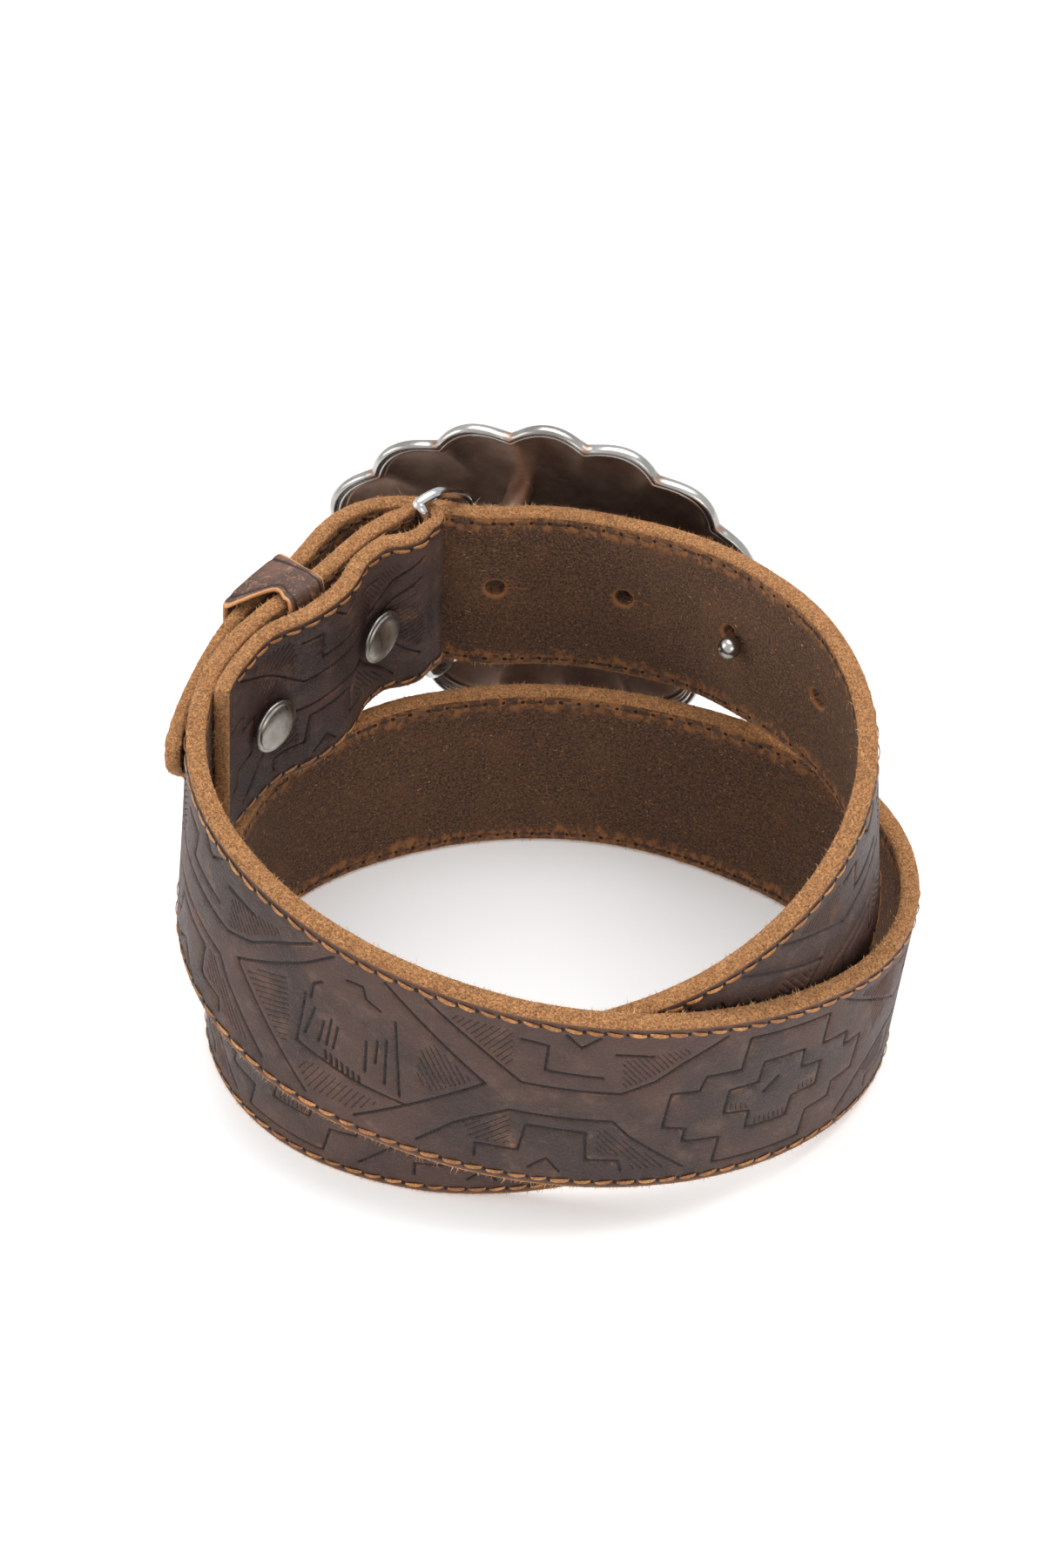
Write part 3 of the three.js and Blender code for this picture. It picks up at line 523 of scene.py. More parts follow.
def stroke_lines(points, half_width):
    """Middle line of a groove and the line round its two sides."""
    middle = np.array(points)
    tangent = np.gradient(middle, axis=0)
    tangent /= np.linalg.norm(tangent, axis=1)[:, None]
    side = np.stack([-tangent[:, 1], tangent[:, 0]], axis=1) * half_width
    closed = np.allclose(middle[0], middle[-1])
    reach = 0 if closed else half_width
    start = middle[0] - tangent[0] * reach
    end = middle[-1] + tangent[-1] * reach
    return middle, np.array([start, *(middle + side), end, *(middle - side)[::-1]])


def flat_face(grooves, spacing):
    """Triangles of one side of the strip laid flat, with its grooves, its border and its holes."""
    points = []
    edges = []

    def add(line, closed):
        first = len(points)
        points.extend(map(tuple, line))
        edges.extend((i, i + 1) for i in range(first, len(points) - 1))
        if closed:
            edges.append((len(points) - 1, first))

    add(border, True)
    for hole in holes:
        add(circle(hole, HOLE_RADIUS, HOLE_SIDES), True)
        add(circle(hole, HOLE_RADIUS + HOLE_COLLAR, HOLE_SIDES), True)
    for line, half_width, _ in grooves:
        middle, ring = stroke_lines(line, half_width)
        add(middle, False)
        add(ring, True)
    grid = []
    for i, u in enumerate(np.arange(GRID_START, strap_length, spacing)):
        grid += [(u, h) for h in np.arange(GRID_FOOT + (i % 2) * spacing / 2, GRID_TOP, spacing)]
    for u in np.arange(flap_end_u - FOLD_MARGIN, main_start_u + FOLD_MARGIN, FOLD_COLUMN):
        grid += [(u, h) for h in np.arange(FOLD_FOOT, GRID_TOP, FOLD_ROW)]
    grid = np.array(grid)
    grid = grid[inside(grid, border)]
    points.extend(map(tuple, grid))
    result = delaunay_2d_cdt([Vector(p) for p in points], edges, [], 0, 1e-4)
    flat = np.array([tuple(p) for p in result[0]])
    triangles = np.array([face for face in result[2] if len(face) == 3])
    middles = flat[triangles].mean(axis=1)
    kept = inside(middles, border)
    for hole in holes:
        kept &= np.hypot(*(middles - hole).T) > HOLE_RADIUS * math.cos(math.pi / HOLE_SIDES) - 0.01
    return flat, triangles[kept]


def tree_of(flat):
    tree = KDTree(len(flat))
    for i, p in enumerate(flat):
        tree.insert((p[0], p[1], 0), i)
    tree.balance()
    return tree


def groove_depths(flat, grooves):
    """Depth of each point below the face, and how far down its groove it is, 0 to 1."""
    samples = []
    for line, half_width, depth in grooves:
        for a, b in zip(line, line[1:]):
            count = max(1, math.ceil(math.dist(a, b) / DEPTH_STEP))
            samples += [(*between(a, b, i / count), half_width, depth) for i in range(count + 1)]
    tree = tree_of(samples)
    depths = np.zeros(len(flat))
    shares = np.zeros(len(flat))
    for i, (u, h) in enumerate(flat):
        _, nearest, distance = tree.find((u, h, 0))
        half_width, depth = samples[nearest][2:]
        share = max(0.0, 1 - distance / half_width)
        depths[i] = share * depth
        shares[i] = share * min(1.0, depth / GROOVE[1])
    return depths, shares


def border_distance(flat):
    return np.minimum(flat[:, 1], STRAP_WIDTH - flat[:, 1])


def hole_wear(flat):
    wear = np.zeros(len(flat))
    for hole in holes:
        offset = flat - np.array(hole)
        distance = np.hypot(offset[:, 0], offset[:, 1])
        wear = np.maximum(wear, 1 - smooth(distance, HOLE_RADIUS, HOLE_RADIUS + HOLE_WEAR))
    return wear


grain_grooves = strokes + slits
grain_flat, grain_triangles = flat_face(grain_grooves, GRAIN_SPACING)
grain_depth, grain_share = groove_depths(grain_flat, grain_grooves)
suede_flat, suede_triangles = flat_face(slits, SUEDE_SPACING)
suede_depth, suede_share = groove_depths(suede_flat, slits)

grain_worn, suede_worn = hole_wear(grain_flat), hole_wear(suede_flat)
grain_out = half_thickness(grain_flat[:, 0]) - grain_depth - HOLE_DISH * grain_worn
suede_out = -half_thickness(suede_flat[:, 0]) + suede_depth + HOLE_DISH * suede_worn
suede_out += rng.normal(0, SUEDE_SCATTER, len(suede_out))

points = [place(*grain_flat.T, grain_out), place(*suede_flat.T, suede_out)]
flats = [grain_flat, suede_flat]
grooved = [grain_share, suede_share]
worn = [grain_worn, suede_worn]
triangles = [grain_triangles, suede_triangles[:, ::-1] + len(grain_flat)]
kinds = [np.full(len(grain_triangles), GRAIN_SIDE), np.full(len(suede_triangles), SUEDE_SIDE)]
total = len(grain_flat) + len(suede_flat)


def nearest_ids(flat, wanted, offset):
    tree = tree_of(flat)
    return np.array([tree.find((p[0], p[1], 0))[1] for p in wanted]) + offset


def add_band(first_ids, rows, last_ids, kind):
    """Quads, as triangle pairs, between two closed lines of points by way of the rows between them."""
    global total
    lines = [first_ids]
    for flat, xyz in rows:
        lines.append(np.arange(len(flat)) + total)
        points.append(xyz)
        flats.append(flat)
        grooved.append(np.zeros(len(flat)))
        worn.append(np.zeros(len(flat)))
        total += len(flat)
    lines.append(last_ids)
    for a, b in zip(lines, lines[1:]):
        a2, b2 = np.roll(a, -1), np.roll(b, -1)
        triangles.append(np.concatenate([np.stack([a, b, a2], axis=1), np.stack([a2, b, b2], axis=1)]))
        kinds.append(np.full(len(a) * 2, kind))


rows = []
bulge = EDGE_WAVE * np.sin(outline[:, 0] * 0.21) * np.sin(outline[:, 0] * 0.083 + 1)
for step in range(1, EDGE_STEPS):
    angle = math.pi * step / EDGE_STEPS
    reach = EDGE_ROUNDING * math.sin(angle) ** 0.8
    rough = rng.normal(0, EDGE_SCATTER, len(border)) * math.sin(angle)
    flat = border + outward * (reach + (rough + bulge * math.sin(angle) - EDGE_DRAWN_IN)[:, None] * 0.9)
    rows.append((flat, place(*flat.T, half_thickness(flat[:, 0]) * math.cos(angle))))
suede_border = nearest_ids(suede_flat, border, len(grain_flat))
add_band(nearest_ids(grain_flat, border, 0), rows, suede_border, RAW_EDGE)
for hole in holes:
    rim = circle(hole, HOLE_RADIUS, HOLE_SIDES)
    waist = circle(hole, HOLE_RADIUS - HOLE_WAIST, HOLE_SIDES)
    walls = []
    for share in (0.5, 0, -0.5):
        wall = place(*waist.T, half_thickness(waist[:, 0]) * share)
        walls.append((waist[::-1], wall[::-1]))
    suede_rim = nearest_ids(suede_flat, rim, len(grain_flat))
    add_band(nearest_ids(grain_flat, rim, 0)[::-1], walls, suede_rim[::-1], SUEDE_SIDE)


def mesh_object(name, verts, faces, materials, kinds=None, smooth_faces=True):
    mesh = bpy.data.meshes.new(name)
    mesh.from_pydata([tuple(v) for v in verts], [], [tuple(int(i) for i in f) for f in faces])
    for material in materials:
        mesh.materials.append(material)
    if kinds is not None:
        mesh.polygons.foreach_set("material_index", np.asarray(kinds, dtype=np.int32))
    mesh.polygons.foreach_set("use_smooth", np.full(len(mesh.polygons), smooth_faces))
    mesh.update()
    made = bpy.data.objects.new(name, mesh)
    bpy.context.collection.objects.link(made)
    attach(made, "root")
    return made


def put_numbers(mesh, name, values):
    numbers = mesh.attributes.new(name, "FLOAT", "POINT")
    numbers.data.foreach_set("value", np.asarray(values, dtype=np.float32))


class Finish:
    """A material under construction: each call adds one node and returns its output."""

    def __init__(self, name):
        self.material = bpy.data.materials.new(name)
        self.material.use_nodes = True
        self.tree = self.material.node_tree
        self.shader = self.tree.nodes["Principled BSDF"]

    def node(self, kind, links=None, **settings):
        made = self.tree.nodes.new(kind)
        for key, value in settings.items():
            setattr(made, key, value)
        for key, value in (links or {}).items():
            if isinstance(value, bpy.types.NodeSocket):
                self.tree.links.new(value, made.inputs[key])
            else:
                made.inputs[key].default_value = value
        return made

    def noise(self, vector, scale, detail=3.0, rough=0.55, distortion=0.0):
        """Cloudy values round 0.5; a larger scale makes smaller clouds, detail and rough break them up."""
        links = {"Scale": scale, "Detail": detail, "Roughness": rough, "Distortion": distortion}
        return self.node("ShaderNodeTexNoise", {"Vector": vector, **links}).outputs["Fac"]

    def ramp(self, value, low, high, start=0.0, end=1.0):
        """Eases from start to end while the value goes from low to high."""
        links = {"Value": value, "From Min": low, "From Max": high, "To Min": start, "To Max": end}
        return self.node("ShaderNodeMapRange", links, interpolation_type="SMOOTHSTEP").outputs["Result"]

    def combine(self, operation, a, b):
        return self.node("ShaderNodeMath", {0: a, 1: b}, operation=operation).outputs[0]

    def mix(self, share, a, b):
        """Colour a, with b over it by the share."""
        return self.node("ShaderNodeMix", {0: share, 6: a, 7: b}, data_type="RGBA").outputs[2]

    def number(self, name):
        """A number that the mesh holds for each of its points."""
        return self.node("ShaderNodeAttribute", attribute_name=name).outputs["Fac"]

    def bump(self, height, strength, distance, under=None):
        links = {"Height": height, "Strength": strength, "Distance": distance}
        if under is not None:
            links["Normal"] = under
        return self.node("ShaderNodeBump", links).outputs["Normal"]

    def stretched(self, coordinates, scale):
        return self.node("ShaderNodeMapping", {"Vector": coordinates, "Scale": scale}).outputs["Vector"]

    def flat(self):
        """Places on the strip laid flat, in units of 100 mm."""
        return self.node("ShaderNodeUVMap", uv_map="flat").outputs["UV"]

    def solid(self):
        return self.node("ShaderNodeTexCoord").outputs["Object"]

    def wear(self, **sockets):
        """Sets the shader's sockets, named with _ for a space, and returns the material."""
        for key, value in sockets.items():
            socket = self.shader.inputs[key.replace("_", " ")]
            if isinstance(value, bpy.types.NodeSocket):
                self.tree.links.new(value, socket)
            else:
                socket.default_value = value
        return self.material


GRAIN_DARK = (0.034, 0.0175, 0.0135, 1)
GRAIN_BROWN = (0.080, 0.041, 0.031, 1)
GRAIN_PALE = (0.175, 0.098, 0.073, 1)
# tan of the rubbed wear, also used for the painted sheen streaks
RUBBED_AND_SHEEN_TAN = (0.25, 0.100, 0.042, 1)
GROOVE_BLACK = (0.012, 0.007, 0.005, 1)
NAP_DARK = (0.042, 0.0225, 0.0155, 1)
NAP_BROWN = (0.135, 0.077, 0.051, 1)
NAP_TAN = (0.37, 0.155, 0.060, 1)
EDGE_DARK = (0.27, 0.112, 0.040, 1)
EDGE_TAN = (0.86, 0.425, 0.178, 1)


def waxed_grain():
    """Dark waxed leather with paler clouds, rubbed tan at the lips of the grooves and black down in them."""
    grain = Finish("waxed_grain")
    flat = grain.flat()
    clouds = grain.noise(flat, 4.5, 4, 0.6, 0.6)
    blotches = grain.noise(flat, 17.0, 5, 0.65)
    pores = grain.node("ShaderNodeTexVoronoi", {"Vector": flat, "Scale": 120.0}, feature="DISTANCE_TO_EDGE")
    speckle = grain.noise(flat, 260.0, 2, 0.5)
    colour = grain.mix(grain.ramp(clouds, 0.35, 0.68), GRAIN_DARK, GRAIN_BROWN)
    colour = grain.mix(grain.ramp(blotches, 0.50, 0.80, 0, 0.55), colour, GRAIN_PALE)
    colour = grain.mix(grain.ramp(speckle, 0.60, 0.72, 0, 0.35), colour, GRAIN_PALE)
    # painted highlight: sparse pale streaks running up the strap, in the rubbed tan, stand for glossy streaks
    # of sheen
    painted_sheen_streaks = grain.noise(grain.stretched(flat, (1.0, 0.22, 1.0)), 55.0, 4, 0.7)
    colour = grain.mix(grain.ramp(painted_sheen_streaks, 0.66, 0.74, 0, 0.5), colour, RUBBED_AND_SHEEN_TAN)
    depth_share = grain.number("groove")
    rub = grain.combine("MULTIPLY", grain.ramp(depth_share, 0.0, 0.06), grain.ramp(depth_share, 0.30, 0.12))
    rub = grain.combine("MULTIPLY", rub, grain.ramp(blotches, 0.45, 0.65, 0.0, 0.55))
    colour = grain.mix(rub, colour, RUBBED_AND_SHEEN_TAN)
    colour = grain.mix(grain.ramp(depth_share, 0.10, 0.75, 0, 0.95), colour, GROOVE_BLACK)
    burnish = grain.ramp(grain.number("from_edge"), 1.5, 1.0)
    colour = grain.mix(grain.combine("MULTIPLY", burnish, 0.5), colour, RUBBED_AND_SHEEN_TAN)
    colour = grain.mix(grain.number("worn"), colour, NAP_TAN)
    pore_height = grain.combine("MULTIPLY", grain.ramp(pores.outputs["Distance"], 0.0, 0.12), 0.5)
    height = grain.combine("ADD", pore_height, grain.combine("MULTIPLY", blotches, 0.9))
    relief = grain.bump(height, 0.5, 0.0004)
    relief = grain.bump(speckle, 0.35, 0.00015, relief)
    shine = grain.combine("ADD", clouds, grain.combine("MULTIPLY", speckle, 0.4))
    shine = grain.ramp(shine, 0.4, 1.0, 0.42, 0.64)
    return grain.wear(Base_Color=colour, Roughness=shine, Normal=relief, Specular_IOR_Level=0.33)


def napped_suede():
    """Brown nap with pale flecks, rubbed tan in spots near the strap's edges."""
    nap = Finish("napped_suede")
    flat = nap.flat()
    clouds = nap.noise(flat, 6.0, 4, 0.6, 0.5)
    fluff = nap.noise(flat, 185.0, 4, 0.85)
    tufts = nap.noise(flat, 95.0, 4, 0.75, 0.8)
    colour = nap.mix(nap.ramp(fluff, 0.43, 0.57), NAP_DARK, NAP_BROWN)
    colour = nap.mix(nap.ramp(tufts, 0.50, 0.70, 0, 0.36), colour, NAP_TAN)
    colour = nap.mix(nap.ramp(clouds, 0.45, 0.75, 0, 0.16), colour, NAP_TAN)
    colour = nap.mix(nap.ramp(nap.noise(flat, 215.0, 2), 0.57, 0.65, 0, 0.6), colour, NAP_TAN)
    patches = nap.noise(nap.stretched(flat, (1.0, 0.6, 1.0)), 30.0, 3, 0.7)
    edge_reach = nap.combine("ADD", nap.number("from_edge"), nap.combine("MULTIPLY", patches, -7.5))
    near_edge = nap.ramp(edge_reach, 1.2, -0.8)
    spots = nap.ramp(nap.noise(nap.stretched(flat, (1.0, 0.55, 1.0)), 62.0, 2, 0.6), 0.44, 0.56, 0.15, 0.95)
    colour = nap.mix(nap.combine("MULTIPLY", near_edge, spots), colour, NAP_TAN)
    colour = nap.mix(nap.number("worn"), colour, NAP_TAN)
    colour = nap.mix(nap.ramp(nap.number("groove"), 0.05, 0.6, 0, 0.8), colour, NAP_TAN)
    relief = nap.bump(fluff, 0.8, 0.0004)
    relief = nap.bump(tufts, 0.5, 0.0005, relief)
    return nap.wear(Base_Color=colour, Roughness=0.92, Normal=relief, Specular_IOR_Level=0.15,
                    Sheen_Weight=0.1, Sheen_Roughness=0.5, Sheen_Tint=(0.8, 0.62, 0.45, 1))


def raw_cut_edge():
    """The pale, fibrous and lumpy inside of the hide."""
    raw_edge = Finish("raw_cut_edge")
    flat = raw_edge.solid()
    fibres = raw_edge.noise(flat, 2400.0, 5, 0.8)
    lumps = raw_edge.noise(flat, 420.0, 4, 0.7)
    colour = raw_edge.mix(raw_edge.ramp(fibres, 0.36, 0.64), EDGE_DARK, EDGE_TAN)
    colour = raw_edge.mix(raw_edge.ramp(lumps, 0.50, 0.75, 0, 0.6), colour, EDGE_DARK)
    relief = raw_edge.bump(fibres, 1.0, 0.0008)
    relief = raw_edge.bump(lumps, 0.9, 0.0012, relief)
    return raw_edge.wear(Base_Color=colour, Roughness=0.9, Normal=relief, Specular_IOR_Level=0.15,
                         Sheen_Weight=0.12, Sheen_Roughness=0.5, Sheen_Tint=(0.95, 0.75, 0.5, 1))


strap_points = np.concatenate(points)
strap_points[:, 2] = np.maximum(strap_points[:, 2], 0.0)
strap = mesh_object("embossed_strap", strap_points, np.concatenate(triangles),
                    [waxed_grain(), napped_suede(), raw_cut_edge()], np.concatenate(kinds))
all_flat = np.concatenate(flats)
put_numbers(strap.data, "groove", np.concatenate(grooved))
put_numbers(strap.data, "worn", np.concatenate(worn))
put_numbers(strap.data, "from_edge", border_distance(all_flat))
uv = strap.data.uv_layers.new(name="flat")
corner_vertices = np.empty(len(strap.data.loops), dtype=np.int32)
strap.data.loops.foreach_get("vertex_index", corner_vertices)
uv.data.foreach_set("uv", (all_flat[corner_vertices] / 100).astype(np.float32).ravel())
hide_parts("strap")

# Stitches
# Two rows of heavy waxed thread run along the strap's long edges and round the tip. They decorate it, and on
# the suede side the thread lies sunk between rubbed spots. Flat dark spots between the stitches are painted
# shade for the needle's holes.
STITCH_PITCH = 3.55
STITCH_INSET = 2.15
ROW_START_U = 2.5
FIRST_STITCH = 1.8
ROW_END_GAP = 2
STITCH_RINGS = 7
STITCH_SIDES = 6
PLACE_SCATTER = 0.09
TILT_SCATTER = 0.05
SIZE_SCATTER = 0.07
THREAD_TAN = (0.36, 0.145, 0.042, 1)
THREAD_PALE = (0.62, 0.275, 0.085, 1)
THREAD_SHADE = (0.13, 0.055, 0.018, 1)
GREYED_DARK = (0.060, 0.036, 0.025, 1)
GREYED_TAN = (0.21, 0.115, 0.065, 1)
# painted shade for the needle's holes, from black to dark brown
HOLE_SHADE_BLACK = (0.020, 0.010, 0.006, 1)
HOLE_SHADE_BROWN = (0.050, 0.024, 0.013, 1)

row_line = outline - outward * STITCH_INSET
started = int(np.argmin(np.hypot(outline[:, 0] - 2, outline[:, 1])))
row_line = np.roll(row_line, -started, axis=0)
row_line = row_line[row_line[:, 0] >= ROW_START_U]
row_steps = np.concatenate([[0], np.cumsum(np.linalg.norm(np.diff(row_line, axis=0), axis=1))])
stitch_middles = np.arange(FIRST_STITCH, row_steps[-1] - ROW_END_GAP, STITCH_PITCH)


def ring_quads(first, rings, sides):
    """Faces between neighbouring rings of points, which follow each other in the list of points."""
    quads = []
    for i in range(rings - 1):
        for j in range(sides):
            a = first + i * sides + j
            b = first + i * sides + (j + 1) % sides
            quads.append((a, b, b + sides, a + sides))
    return quads


def stitch_row(name, face, material, half_length, half_width, height, sink=0.0, shift=0.0, slant=0.0):
    """Crowned short threads on one face: face is +1 for the grain side and -1 for the suede side."""
    shares = np.sin(np.linspace(-math.pi / 2, math.pi / 2, STITCH_RINGS)) * 0.98
    swell = np.sqrt(1 - shares ** 2)
    verts = []
    faces = []
    for middle in stitch_middles + shift:
        middle += rng.normal(0, PLACE_SCATTER)
        tilt = slant + rng.normal(0, TILT_SCATTER)
        size = 1 + rng.normal(0, SIZE_SCATTER)
        walked = middle + shares * half_length * size
        u = np.interp(walked, row_steps, row_line[:, 0])
        h = np.interp(walked, row_steps, row_line[:, 1]) + shares * tilt
        first = len(verts)
        for k in range(STITCH_RINGS):
            for j in range(STITCH_SIDES):
                angle = 2 * math.pi * j / STITCH_SIDES
                wide = half_width * size * swell[k] ** 0.6 * math.cos(angle)
                high = height * (swell[k] - sink) + 0.3 * height * swell[k] ** 0.5 * math.sin(angle)
                verts.append((u[k], h[k] + wide, face * (half_thickness(u[k]) + high)))
        faces += [quad[::face] for quad in ring_quads(first, STITCH_RINGS, STITCH_SIDES)]
        faces.append(tuple(range(first, first + STITCH_SIDES))[::face])
        faces.append(tuple(range(len(verts) - STITCH_SIDES, len(verts)))[::-face])
    return mesh_object(name, place(*np.array(verts).T), faces, [material])


def thread_finish(name, fade_scale, dark, pale, roughness, shine, shade=None):
    """Twisted thread faded in patches, with the hollows of its twist shaded if a shade is given."""
    thread = Finish(name)
    solid = thread.solid()
    twist = thread.noise(solid, 2600.0, 2, 0.6)
    fade = thread.noise(solid, fade_scale, 3, 0.6)
    colour = thread.mix(thread.ramp(fade, 0.4, 0.65), dark, pale)
    if shade:
        colour = thread.mix(thread.ramp(twist, 0.58, 0.38, 0, 0.6), colour, shade)
    relief = thread.bump(twist, 0.6, 0.0003)
    return thread.wear(Base_Color=colour, Roughness=roughness, Normal=relief, Specular_IOR_Level=shine)


def painted_hole_shade():
    """Painted shade: a dark finish for flat spots that stand for the shade down in the needle's holes."""
    shade_spot = Finish("painted_hole_shade")
    colour = shade_spot.mix(shade_spot.noise(shade_spot.solid(), 900.0), HOLE_SHADE_BLACK, HOLE_SHADE_BROWN)
    return shade_spot.wear(Base_Color=colour, Roughness=0.9, Specular_IOR_Level=0.15)


waxed_thread = thread_finish("waxed_thread", 160.0, THREAD_TAN, THREAD_PALE, 0.6, 0.35, THREAD_SHADE)
greyed_thread = thread_finish("greyed_thread", 120.0, GREYED_DARK, GREYED_TAN, 0.75, 0.3)
hole_shade_paint = painted_hole_shade()
stitch_row("grain_stitches", 1, waxed_thread, half_length=1.5, half_width=0.42, height=0.34,
           sink=0.3, slant=0.2)
# painted shade: flat dark spots between the grain-side stitches stand for the shade in the needle's holes
stitch_row("grain_painted_hole_shade", 1, hole_shade_paint, half_length=0.34, half_width=0.36, height=0.05,
           shift=STITCH_PITCH / 2)
stitch_row("suede_stitches", -1, greyed_thread, half_length=1.2, half_width=0.36, height=0.26,
           sink=0.3, slant=-0.1)
# painted shade: flat dark spots between the suede-side stitches stand for the shade in the needle's holes
stitch_row("suede_painted_hole_shade", -1, hole_shade_paint, half_length=0.4, half_width=0.36, height=0.05,
           shift=STITCH_PITCH / 2)

# Loose fibres
# The raw edges of the strip have never been sealed, so short hairs of hide stand out of them all round. Each
# is a thin three-sided spike.
FIBRE_COUNT = 34000
FIBRE_HALF_WIDTH = 0.045
FIBRE_LEAST = 0.12
FIBRE_ROOT_DEPTH = 0.22
# shape and scale of the random lengths beyond the least
FIBRE_LENGTHS = (2.2, 0.17)
FIBRE_SPREAD = 0.62
FIBRE_SIDEWAYS = 0.45
FIBRE_OUTWARDS = 0.25
FLOOR_CLEARANCE = 0.00002
FIBRE_TAN = (0.34, 0.160, 0.066, 1)
FIBRE_PALE = (0.86, 0.52, 0.26, 1)


def hair_finish(name, scale, low, high, dark, pale, roughness, shine):
    hair = Finish(name)
    tone = hair.noise(hair.solid(), scale, 3, 0.7)
    colour = hair.mix(hair.ramp(tone, low, high), dark, pale)
    return hair.wear(Base_Color=colour, Roughness=roughness, Specular_IOR_Level=shine)


fibre_verts = []
fibre_faces = []
outline_count = len(outline)
width = FIBRE_HALF_WIDTH
for _ in range(FIBRE_COUNT):
    at = rng.random() * outline_count
    i, share = int(at) % outline_count, at % 1
    root = outline[i] * (1 - share) + outline[(i + 1) % outline_count] * share
    angle = rng.normal(0, FIBRE_SPREAD)
    reach = rng.gamma(*FIBRE_LENGTHS) + FIBRE_LEAST
    out = float(half_thickness(root[0])) * math.sin(angle) * 0.95
    start = root - outward[i] * (FIBRE_ROOT_DEPTH + 0.5 * (1 - math.cos(angle)))
    sideways = np.array((outward[i][1], -outward[i][0])) * rng.normal(0, FIBRE_SIDEWAYS) * reach
    end = start + outward[i] * reach * 0.75 + sideways
    end_out = out + math.sin(angle) * reach * 0.7 + rng.normal(0, FIBRE_OUTWARDS) * reach
    first = len(fibre_verts)
    fibre_verts += [(start[0] - width, start[1], out), (start[0] + width, start[1], out + width),
                    (start[0], start[1] + width, out - width), (end[0], end[1], end_out)]
    fibre_faces += [(first, first + 1, first + 3), (first + 1, first + 2, first + 3),
                    (first + 2, first, first + 3), (first, first + 2, first + 1)]
hide_fibres = hair_finish("hide_fibres", 700.0, 0.35, 0.65, FIBRE_TAN, FIBRE_PALE, 0.85, 0.2)
fibre_points = place(*np.array(fibre_verts).T)
fibre_points[:, 2] = np.maximum(fibre_points[:, 2], FLOOR_CLEARANCE)
mesh_object("edge_fibres", fibre_points, fibre_faces, [hide_fibres], smooth_faces=False)

# Suede hairs
# The flesh side of the hide has a short nap. Its hairs are rooted in the face and lie nearly flat on it, in
# every direction.
NAP_HAIR_COUNT = 16000
NAP_HAIR_FACES = 3
NAP_HALF_WIDTH = 0.03
NAP_LEAST = 0.2
NAP_LENGTHS = (2.0, 0.14)
NAP_ROOT_DEPTH = 0.05
NAP_BOW_LIFT = 0.10
NAP_END_LIFT = 0.06
NAP_BOW_SCATTER = 4
NAP_INSET = 1.0
NAP_EDGE_GAP = 1.2
NAP_HAIR_BROWN = (0.13, 0.065, 0.038, 1)
NAP_HAIR_TAN = (0.60, 0.31, 0.15, 1)

tip_end_us = [u for u, _ in tip_points[:len(TIP_END)]]
tip_end_hs = [h for _, h in tip_points[:len(TIP_END)]]
hair_verts = []
hair_faces = []
while len(hair_faces) < NAP_HAIR_COUNT * NAP_HAIR_FACES:
    u = rng.random() * strap_length
    h = NAP_INSET + rng.random() * (STRAP_WIDTH - 2 * NAP_INSET)
    if h < np.interp(u, tip_end_us, tip_end_hs) + NAP_EDGE_GAP:
        continue
    heading = rng.random() * 2 * math.pi
    length = NAP_LEAST + rng.gamma(*NAP_LENGTHS)
    out = -float(half_thickness(u))
    across = np.array((-math.sin(heading), math.cos(heading))) * NAP_HALF_WIDTH
    along = np.array((math.cos(heading), math.sin(heading))) * length
    bow = across * rng.normal(0, NAP_BOW_SCATTER)
    first = len(hair_verts)
    hair_verts += [(u - across[0], h - across[1], out + NAP_HALF_WIDTH),
                   (u + across[0], h + across[1], out + NAP_HALF_WIDTH),
                   (u, h, out - NAP_ROOT_DEPTH),
                   (u + along[0] / 2 + bow[0], h + along[1] / 2 + bow[1], out - NAP_BOW_LIFT),
                   (u + along[0], h + along[1], out - NAP_END_LIFT)]
    hair_faces += [(first, first + 2, first + 3), (first + 2, first + 1, first + 3),
                   (first, first + 3, first + 4)]
suede_hairs = hair_finish("suede_hairs", 500.0, 0.38, 0.66, NAP_HAIR_BROWN, NAP_HAIR_TAN, 0.9, 0.15)
mesh_object("suede_nap", place(*np.array(hair_verts).T), hair_faces, [suede_hairs],
            smooth_faces=False)

# Keeper loop
# A narrow strip of the same hide, softer and thinner, wrapped round the first layer and the tip. Its grain
# is rubbed pinkish brown, with a creased line along each raw edge.
KEEPER_TIP_TURNS = (871.2, 886.8)
KEEPER_FIRST_TURNS = (155.3, 164.5)
KEEPER_CLEARANCE = 0.3
KEEPER_THICKNESS = 1.3
KEEPER_UNDERSIDE = 1.2
KEEPER_OUTER_CORNER = 2.0
KEEPER_INNER_CORNER = 0.7
KEEPER_LOW = 12.0
KEEPER_HIGH = 26.0
KEEPER_CURVE_STEPS = 6
KEEPER_SECTION_POINTS = 32
CREASE_DEPTH = 0.16
CREASES = ((0.10, 0.17), (0.83, 0.90))
KEEPER_RIM = 0.035
KEEPER_BROWN = (0.072, 0.036, 0.024, 1)
KEEPER_PALE = (0.17, 0.084, 0.055, 1)
KEEPER_RUBBED = (0.33, 0.165, 0.10, 1)
KEEPER_SPECKLE = (0.42, 0.23, 0.14, 1)
CREASE_BLACK = (0.024, 0.011, 0.007, 1)


def curve_point(a, b, c, d, t):
    """The point a share t of the way from b to c on the smooth curve through all four."""
    return 0.5 * (2 * b + (c - a) * t + (2 * a - 5 * b + 4 * c - d) * t ** 2
                  + (3 * b - a - 3 * c + d) * t ** 3)


def closed_curve(points, steps):
    result = []
    for i in range(len(points)):
        a, b, c, d = (points[(i + k) % len(points)] for k in (-1, 0, 1, 2))
        result += [curve_point(a, b, c, d, step / steps) for step in range(steps)]
    return np.array(result)


